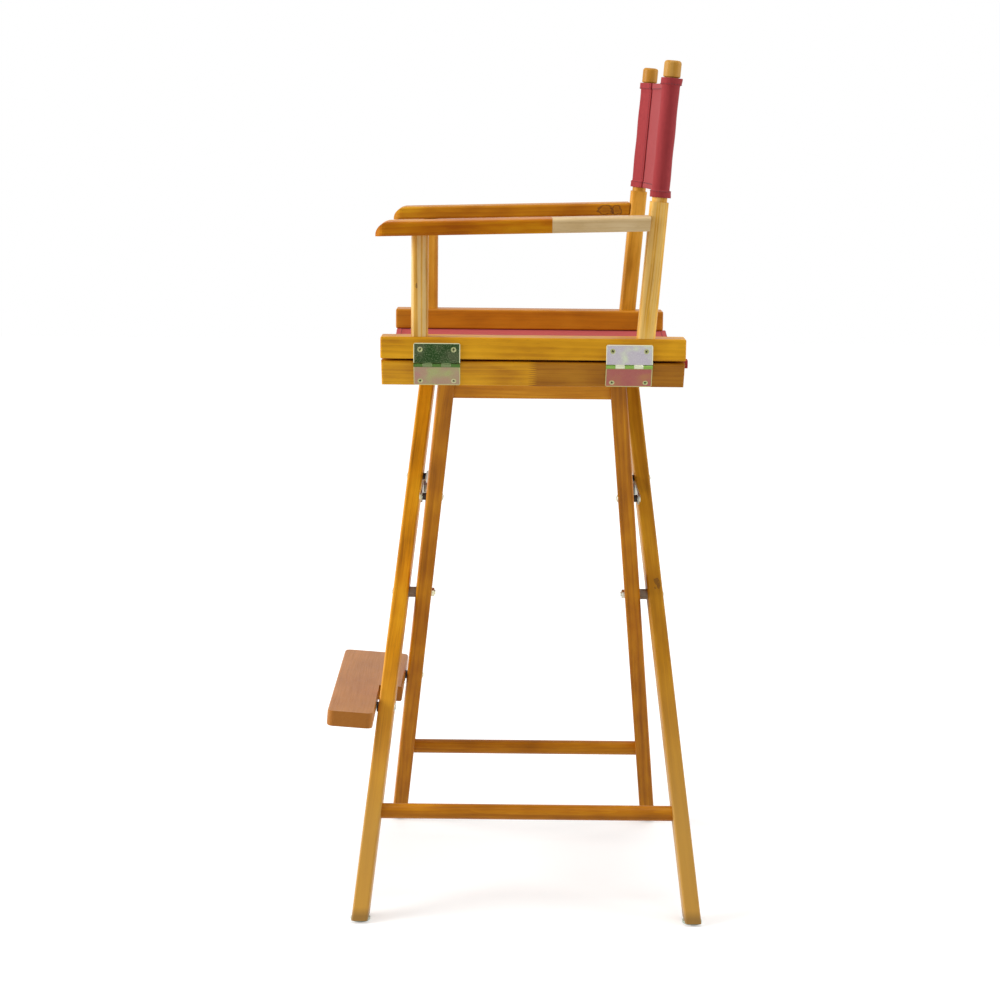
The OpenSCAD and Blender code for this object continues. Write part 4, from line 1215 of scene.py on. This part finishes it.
@dataclass
class BackCloth(Cloth):
    """The back: a canvas panel with a sleeve at each end that slips over a rear post."""

    thickness: float = 1.2 * MM
    hem_extra: float = 1.7 * MM
    hem_blur: float = 0.7 * MM
    hem_steps: int = 14
    steps: int = 90
    post: float = 10 * MM         # radius of a post
    clear: float = 0.5 * MM       # from a post to its sleeve
    packed_radius: float = 11.9 * MM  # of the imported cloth's sleeve
    seam_in: float = 23 * MM      # from a post's middle to the sleeve's seam
    seam_back: float = 4 * MM     # the seam lies a little behind the posts' middle
    billow: float = 5 * MM
    lap: float = 5 * MM           # of a sleeve's front run past the seam
    swell: float = 0.02           # share of its radius that a sleeve swells by
    flare: float = 1.2 * MM       # how far a sleeve's hems stand off behind the post
    wrinkle: float = 1.1 * MM     # height of the panel's waves before they die out
    wrinkle_run: float = 70 * MM  # how far from a seam they last
    droop: float = 2.0 * MM       # how far the panel's edges draw in at its middle
    post_x: float = field(init=False)
    height: float = field(init=False)
    middle: Array = field(init=False)
    rise: Array = field(init=False)

    def __post_init__(self) -> None:
        """Takes the posts' X, the cloth's height up the posts and its middle."""
        low, high = corners("back_canvas")
        self.post_x = high[0] - self.packed_radius
        self.height = (high[2] - low[2]) / math.cos(POST_LEAN) - 2 * MM
        self.middle = (low + high) / 2
        self.rise = self.between(-self.height / 2, self.height / 2)

    def build(self) -> None:
        """Makes the panel, two sleeves and their stitching, and hangs them on the arms."""
        self.panel()
        for side in Side:
            for piece in self.sleeve(side):
                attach(piece, f"{side.arm}_arm")

    def section(self, radius: float) -> Array:
        """Traces a sleeve seen down its post.

        The inward axis points to the other post. Two straight runs leave the seam and
        touch the circle round the post where the radius is square to them, and the arc
        between them goes round the outside.

        Args:
            radius: The circle's radius.

        Returns:
            Points as n by 2 of inward and rearward.
        """
        seam = np.array([self.seam_in, self.seam_back])
        heading = math.atan2(seam[1], seam[0])
        spread = math.acos(radius / float(np.linalg.norm(seam)))
        turn = np.linspace(heading - spread, heading + spread - 2 * math.pi, 60)
        arc = radius * np.stack([np.cos(turn), np.sin(turn)], axis=-1)
        lap = seam + (self.lap, -self.thickness)
        front, rear = np.linspace(lap, arc[0], 14), np.linspace(arc[-1], seam, 12)
        return np.concatenate([front[:-1], arc, rear[1:]])

    def place(self, x: Array, rearward: Array | float, rise: Array) -> Array:
        """Turns lengths into places.

        Args:
            x: X in the frame.
            rearward: Lengths square to the posts.
            rise: Lengths up the posts from the cloth's middle.

        Returns:
            The places in the frame.
        """
        cos, sin = math.cos(POST_LEAN), math.sin(POST_LEAN)
        y = self.middle[1] + rearward * cos + rise * sin
        z = self.middle[2] - rearward * sin + rise * cos
        return np.stack(np.broadcast_arrays(x, y, z), axis=-1)

    def sleeve(self, side: Side) -> tuple[Piece, Piece]:
        """Makes one sleeve and its seams.

        The section is carried up the post. It swells a little between the hems and
        wrinkles near its seam: radius grows by a slow sine of the height. The hems'
        extra thickness lies outside.

        Args:
            side: The leg frame that its post stands on.

        Returns:
            The sleeve and its stitching.
        """
        rise, sign = self.rise, side.value
        line = self.section(self.post + self.clear + self.thickness / 2)
        inward, rearward = line[:, :1], line[:, 1:]
        angle = np.arctan2(rearward, inward)
        outside = smoothstep(0.2, 1.4, np.abs(angle))
        grow = 1 + self.swell * np.sin(rise * 2 * math.pi * pitch(57) + sign) * outside
        half = self.height / 2
        flare = self.flare * smoothstep(half - self.hem - 2 * MM, half, np.abs(rise))
        inward = inward * grow
        rearward = rearward * grow + flare * smoothstep(0.5, 1.0, np.sin(angle))
        points = self.place(sign * (self.post_x - inward), rearward, rise)
        normal = grid_normals(points)
        core = self.place(sign * (self.post_x - 6 * MM), 0.0, rise)
        normal *= np.sign(np.sum(normal * (points - core), axis=-1).mean())
        thick = np.broadcast_to(self.thick(half - np.abs(rise)), inward.shape)
        points += normal * (thick - self.thickness)[..., None] / 2
        uv = [lengths(line)[:, None], rise]
        cloth = self.piece(f"{side.arm}_back_sleeve", points, normal, thick, uv)
        face_outwards(cloth)
        grid = (points, normal, thick)
        seams = self.sew(f"{side.arm}_sleeve_stitching", grid, rise, (1,))
        seams.row(*(values[2] for values in grid))
        return cloth, seams.build(self.thread)

    def panel(self) -> None:
        """Makes the panel between the two seams and its stitching.

        Rearward place is the seam's plus a parabola across the chair, and a shallow
        wave of the height times a decay from each seam.
        """
        rise = self.rise
        reach = self.post_x - self.seam_in + 1 * MM
        x = np.linspace(-reach, reach, 120)[:, None]
        share = 1 - (x / reach) ** 2
        away = (reach - np.abs(x)) / self.wrinkle_run
        wave = away * np.exp(-2.0 * away) * np.sin(rise * 2 * math.pi * pitch(48) + 0.4)
        rearward = self.seam_back + self.billow * share + self.wrinkle * wave
        dip = -self.droop * share * (rise / (self.height / 2)) ** 3
        points = self.place(x, rearward, rise + dip)
        normal = grid_normals(points)
        thick = np.broadcast_to(self.thick(self.height / 2 - np.abs(rise)), wave.shape)
        cloth = self.piece("back_panel", points, normal, thick, [x, rise])
        face_outwards(cloth)
        grid = (points, normal, thick)
        stitches = self.sew("back_panel_stitching", grid, rise).build(self.thread)
        for piece in (cloth, stitches):
            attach(piece, "right_arm")
            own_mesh(piece)
        posts = ["left_rear_post", "right_rear_post"]
        self.declare(cloth, stitches, "back_canvas", (2 * reach, self.height), posts)


# ---- metal and plastic ----


@dataclass
class Hardware:
    """Hinges, bolts, braces, screws, spacers and glides."""

    # each set of leaves: front film, rear film, then the colour of its painted edge highlight
    upper: ChromatedLeaves = ChromatedLeaves(
        "yellow_zinc_upper_leaves",
        Film("#2a4c22", ("#484e38", "#263e1e"), "#84926c", "#6c7c54", 0.45),
        Film("#b4b8ac", ("#c4d89c", "#aaa0ae"), "#d8dcd0", "#c4c8ac"),
        "#e2e4bc",
    )
    lower: ChromatedLeaves = ChromatedLeaves(
        "yellow_zinc_lower_leaves",
        Film("#8f9062", ("#9c6c6a", "#947c68"), "#989278", "#4c6a34"),
        Film("#945e52", ("#97684c", "#925552"), "#987258", "#7c9e4c"),
        "#b0b47c",
    )
    bolt: PlatedSteel = PlatedSteel("bright_zinc", "#c3c2b4", "#d8d3b0")
    strip: PlatedSteel = PlatedSteel("dull_zinc_strips", "#97958a", "#a8a48c", 0.36)
    # the screws' cross recesses take the painted shade
    screw: PlatedSteel = PlatedSteel("yellow_zinc_screws", "#a0a474", "#b0ac88", recess="recess")
    pin: PlatedSteel = PlatedSteel("yellow_zinc_pins", "#c8c8a0", "#d8d4b0")
    black: MouldedPlastic = MouldedPlastic("black_nylon", "#1d1b19", "#2b2826")
    grey: MouldedPlastic = MouldedPlastic("grey_brown_nylon", "#8a7a66", "#6f6253")
    glide: MouldedPlastic = MouldedPlastic("white_glide_plastic", "#c2cabc", "#8e9c88", 0.5)

    def build(self) -> None:
        """Paints every metal and plastic node by the record's own slots."""
        upper = self.upper.material("left_arm_leaves", True)
        lower = self.lower.material("inner_hinge_leaves", False)
        strip = self.strip.material()
        nodes = {"left_arm_leaves": upper, "right_arm_leaves": upper}
        nodes |= {"inner_hinge_leaves": lower, "outer_hinge_leaves": lower}
        nodes |= {f"{side.frame}_strip_{end.name.lower()}": strip for side in Side for end in End}
        slots = {
            "yellow_zinc": self.pin.material(),
            "bright_zinc": self.bolt.material(),
            "black_nylon": self.black.material(),
            "grey_nylon": self.grey.material(),
            "glide_plastic": self.glide.material(),
        }
        for part in frame["record"]["subparts"]:
            finish = nodes.get(part["node"]) or slots.get(part["material_slot"])
            if finish:
                paint(part["node"], finish)
        screws = self.screw.material()
        for side in Side:
            across = side.value
            level = Vector((across, 0, 0))
            lean = Vector((across * math.cos(FRAME_LEAN), 0, -math.sin(FRAME_LEAN)))
            CrossHeads(f"{side.arm}_arm_screws", f"{side.arm}_arm", level).build(screws)
            CrossHeads(f"{side.frame}_leaf_screws", f"{side.frame}_frame", lean).build(screws)


@dataclass
class CrossHeads:
    """Countersunk cross-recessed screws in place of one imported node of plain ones."""

    node: str
    body: str
    outward: Vector
    head: float = 3.45 * MM       # radii and lengths
    shank: float = 1.6 * MM
    cone: float = 1.9 * MM
    arm_length: float = 2.1 * MM  # of the cross, from its middle
    arm_width: float = 0.62 * MM  # half of it
    depth: float = 1.3 * MM
    tip: float = 0.01 * MM        # radius of the ring that closes each end
    point: float = 1.5 * MM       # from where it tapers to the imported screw's end
    short: float = 0.1 * MM       # from its own end to there
    sunk: float = 0.05 * MM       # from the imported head's face to its own
    twist: float = 0.5            # turn of the first cross in radians
    twist_on: float = 1.1         # and from each cross to the next
    around: int = 48

    def build(self, finish: Material) -> None:
        """Makes one screw at each packed one and hangs them on their body.

        Args:
            finish: Their plating.
        """
        old = frame["nodes"][self.node].data
        flat = np.empty(3 * len(old.vertices), dtype=np.float32)
        old.vertices.foreach_get("co", flat)
        points = flat.reshape(-1, 3).astype(float)
        normal = np.array(self.outward)
        order = np.argsort(points[:, 1])
        gaps = np.nonzero(np.diff(points[order, 1]) > 10 * MM)[0] + 1
        vertices, faces, recess = [], [], []
        for number, group in enumerate(np.split(order, gaps)):
            screw = points[group]
            rise = screw @ normal
            rim = screw[rise > rise.max() - 0.3 * MM]
            top = (rim.min(axis=0) + rim.max(axis=0)) / 2
            top += normal * (rise.max() - top @ normal - self.sunk)
            twist = self.twist + self.twist_on * number
            body, quads, deep = self.one(top, normal, rise.max() - rise.min(), twist)
            faces.append(quads + number * len(body))
            vertices.append(body)
            recess.append(deep)
        name = f"{self.node}_crosshead"
        obj = new_mesh(name, np.concatenate(vertices), np.concatenate(faces), smooth=False)
        # depth in the cross recess, where the plating gets its painted shade
        layer = obj.data.attributes.new("recess", "FLOAT", "POINT")
        layer.data.foreach_set("value", np.concatenate(recess).astype(np.float32))
        face_outwards(obj)
        paint(obj, finish)
        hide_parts(self.node)
        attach(obj, self.body)

    def one(
        self, top: Array, normal: Array, length: float, twist: float
    ) -> tuple[Array, Array, Array]:
        """Makes one screw as a surface of revolution with a cross pressed in its head.

        The head's height at radius r and angle a is -depth * (1 - (m / arm)^2) where the
        smaller of |r cos a| and |r sin a| is under half the arm's width and the larger, m,
        is under the arm's length, and 0 elsewhere.

        Args:
            top: The head's middle.
            normal: The way that the head faces.
            length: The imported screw's length.
            twist: The cross's turn in radians.

        Returns:
            The vertices, the quads and how deep in the recess each vertex is, from 0 to 1.
        """
        angle = np.arange(self.around) * 2 * math.pi / self.around
        face = np.linspace(self.tip, self.head, 14)
        radius = np.concatenate([face, [self.shank, self.shank, self.tip]])[:, None]
        below = [-self.cone, -length + self.point, -length + self.short]
        height = np.concatenate([np.zeros(len(face)), below])[:, None]
        u = np.abs(radius * np.cos(angle + twist))
        v = np.abs(radius * np.sin(angle + twist))
        far = np.maximum(u, v)
        cross = (np.minimum(u, v) < self.arm_width) & (far < self.arm_length)
        cross[len(face) :] = False
        drop = np.where(cross, self.depth * (1 - (far / self.arm_length) ** 2), 0)
        side = np.array([0.0, 1.0, 0.0])
        spoke = np.cos(angle)[:, None] * side + np.sin(angle)[:, None] * np.cross(normal, side)
        points = top + radius[..., None] * spoke + (height - drop)[..., None] * normal
        numbers = np.arange(points.size // 3).reshape(-1, self.around)
        following = np.roll(numbers, -1, axis=1)
        walls = np.stack([numbers[:-1], numbers[1:], following[1:], following[:-1]], axis=-1)
        k = np.arange(self.around // 2 - 1)
        caps = [np.stack([r[k], r[k + 1], r[-2 - k], r[-1 - k]], axis=-1) for r in numbers[[0, -1]]]
        faces = np.concatenate([walls.reshape(-1, 4), *caps])
        return points.reshape(-1, 3), faces, drop.ravel() / self.depth


# ---- studio ----


@dataclass
class Studio:
    """Floor, white surround, three soft lamps and the camera."""

    camera_x: float = 3.21786
    camera_before: float = 0.04147  # how far in front of the pivots the camera stands
    camera_z: float = 1.07906
    pitch_down: float = 0.1651
    roll: float = 0.0100
    focal_mm: float = 82.29
    sensor_mm: float = 36.0
    floor_half: float = 8.0
    glow_near: tuple[float, float] = (0.9, 0.36)   # distance and strength of the floor's glow
    glow_far: tuple[float, float] = (2.6, 0.67)
    soft_light: float = 0.45        # strength of the surround as a light
    aim: Axis = (0, 0, 0.6)

    @staticmethod
    def seen(graph: Graph) -> Socket:
        """Tells rays that are seen from rays of light.

        Args:
            graph: The floor's or the world's tree.

        Returns:
            A socket that is 1 for the camera, reflections and clear pieces, or else 0.
        """
        kinds = ("Camera", "Glossy", "Transmission")
        camera, glossy, clear = (graph.add("LightPath", out=f"Is {kind} Ray") for kind in kinds)
        either = graph.add("Math.MAXIMUM", camera, glossy)
        return graph.add("Math.MAXIMUM", either, clear)

    def floor(self) -> None:
        """Lays a pale floor that shows white and keeps a soft shadow.

        Its own glow is weakest round the chair, so that the shadow shows there.
        """
        square = np.array([[-1, -1, 0], [1, -1, 0], [1, 1, 0], [-1, 1, 0]]) * self.floor_half
        obj = new_mesh("floor", square, np.array([[0, 1, 2, 3]]), smooth=False)
        graph = new_material("studio_floor")
        speck = graph.add("TexNoise", graph.place, Scale=pitch(400), Detail=2.0)
        tone = graph.add("Mix", speck, linear("#e2e2e1"), linear("#dededd"))
        matt = graph.add("BsdfDiffuse", Color=tone)
        away = graph.add("VectorMath.LENGTH", graph.place, out="Value")
        (near, dim), (far, bright) = self.glow_near, self.glow_far
        level = graph.add("MapRange", away, near, far, dim, bright)
        glow = graph.add("Emission", Color=(1, 1, 1, 1), Strength=level)
        lit = graph.add("AddShader", matt, glow)
        paint(obj, graph.finish(graph.add("MixShader", self.seen(graph), matt, lit)))

    def surround(self) -> None:
        """Sets a white world for the camera and reflections, and a softer one to light."""
        graph = Graph(bpy.data.worlds.new("white_surround"))
        white = (1, 1, 1, 1)
        soft = graph.add("Background", Color=white, Strength=self.soft_light)
        full = graph.add("Background", Color=white, Strength=1.0)
        bpy.context.scene.world = graph.finish(graph.add("MixShader", self.seen(graph), soft, full))

    def lamp(self, name: str, at: Axis, power: float, size: float) -> None:
        """Hangs a square soft box that faces the chair's middle.

        Args:
            name: Its name.
            at: Where it hangs.
            power: Its power in watts.
            size: Its side.
        """
        data = bpy.data.lights.new(name, "AREA")
        data.energy = power
        data.size = size
        obj = bpy.data.objects.new(name, data)
        turn = (Vector(self.aim) - Vector(at)).to_track_quat("-Z", "Y").to_matrix().to_4x4()
        obj.matrix_world = Matrix.Translation(at) @ turn
        bpy.context.scene.collection.objects.link(obj)

    def camera(self) -> None:
        """Stands the camera at the sitter's left, looking a little down.

        Its axes are worked out from the pitch p and the roll r: it looks along
        (-cos p, 0, -sin p), and its right is cos r of +Y plus sin r of its upright.
        """
        p, r = self.pitch_down, self.roll
        look = Vector((-math.cos(p), 0, -math.sin(p)))
        upright = Vector((-math.sin(p), 0, math.cos(p)))
        right = math.cos(r) * Vector((0, 1, 0)) + math.sin(r) * upright
        data = bpy.data.cameras.new("camera")
        data.lens = self.focal_mm
        data.sensor_width = self.sensor_mm
        data.clip_end = 60
        obj = bpy.data.objects.new("camera", data)
        axes = Matrix((right, right.cross(look), -look)).transposed().to_4x4()
        low, high = corners("pivot_bolts")
        camera_y = (low[1] + high[1]) / 2 - self.camera_before
        obj.matrix_world = Matrix.Translation((self.camera_x, camera_y, self.camera_z)) @ axes
        bpy.context.scene.collection.objects.link(obj)
        bpy.context.scene.camera = obj

    def build(self) -> None:
        """Sets everything up."""
        self.camera()
        self.floor()
        self.surround()
        self.lamp("key", (0.6, -3.8, 2.0), 165, 2.4)
        self.lamp("rear", (0.4, 3.8, 1.9), 70, 2.4)
        self.lamp("top", (0.2, 0.2, 4.2), 60, 2.6)
        bpy.context.scene.view_settings.view_transform = "Standard"


def main() -> None:
    """Builds the chair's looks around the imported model."""
    logging.basicConfig(level=logging.INFO, format="%(name)s: %(message)s")
    Studio().build()
    Woodwork().build()
    Hardware().build()
    thread = PolyThread().material()
    seat = CottonCanvas("red_canvas_seat", "#ae3a38", "#902c2c").material()
    # the back is the seat's canvas dyed darker: the difference is painted shade
    back = CottonCanvas("red_canvas_back_painted_shade", "#a0383a", "#82272c").material()
    SeatCloth(seat, thread).build()
    BackCloth(back, thread).build()


if __name__ == "__main__":
    main()
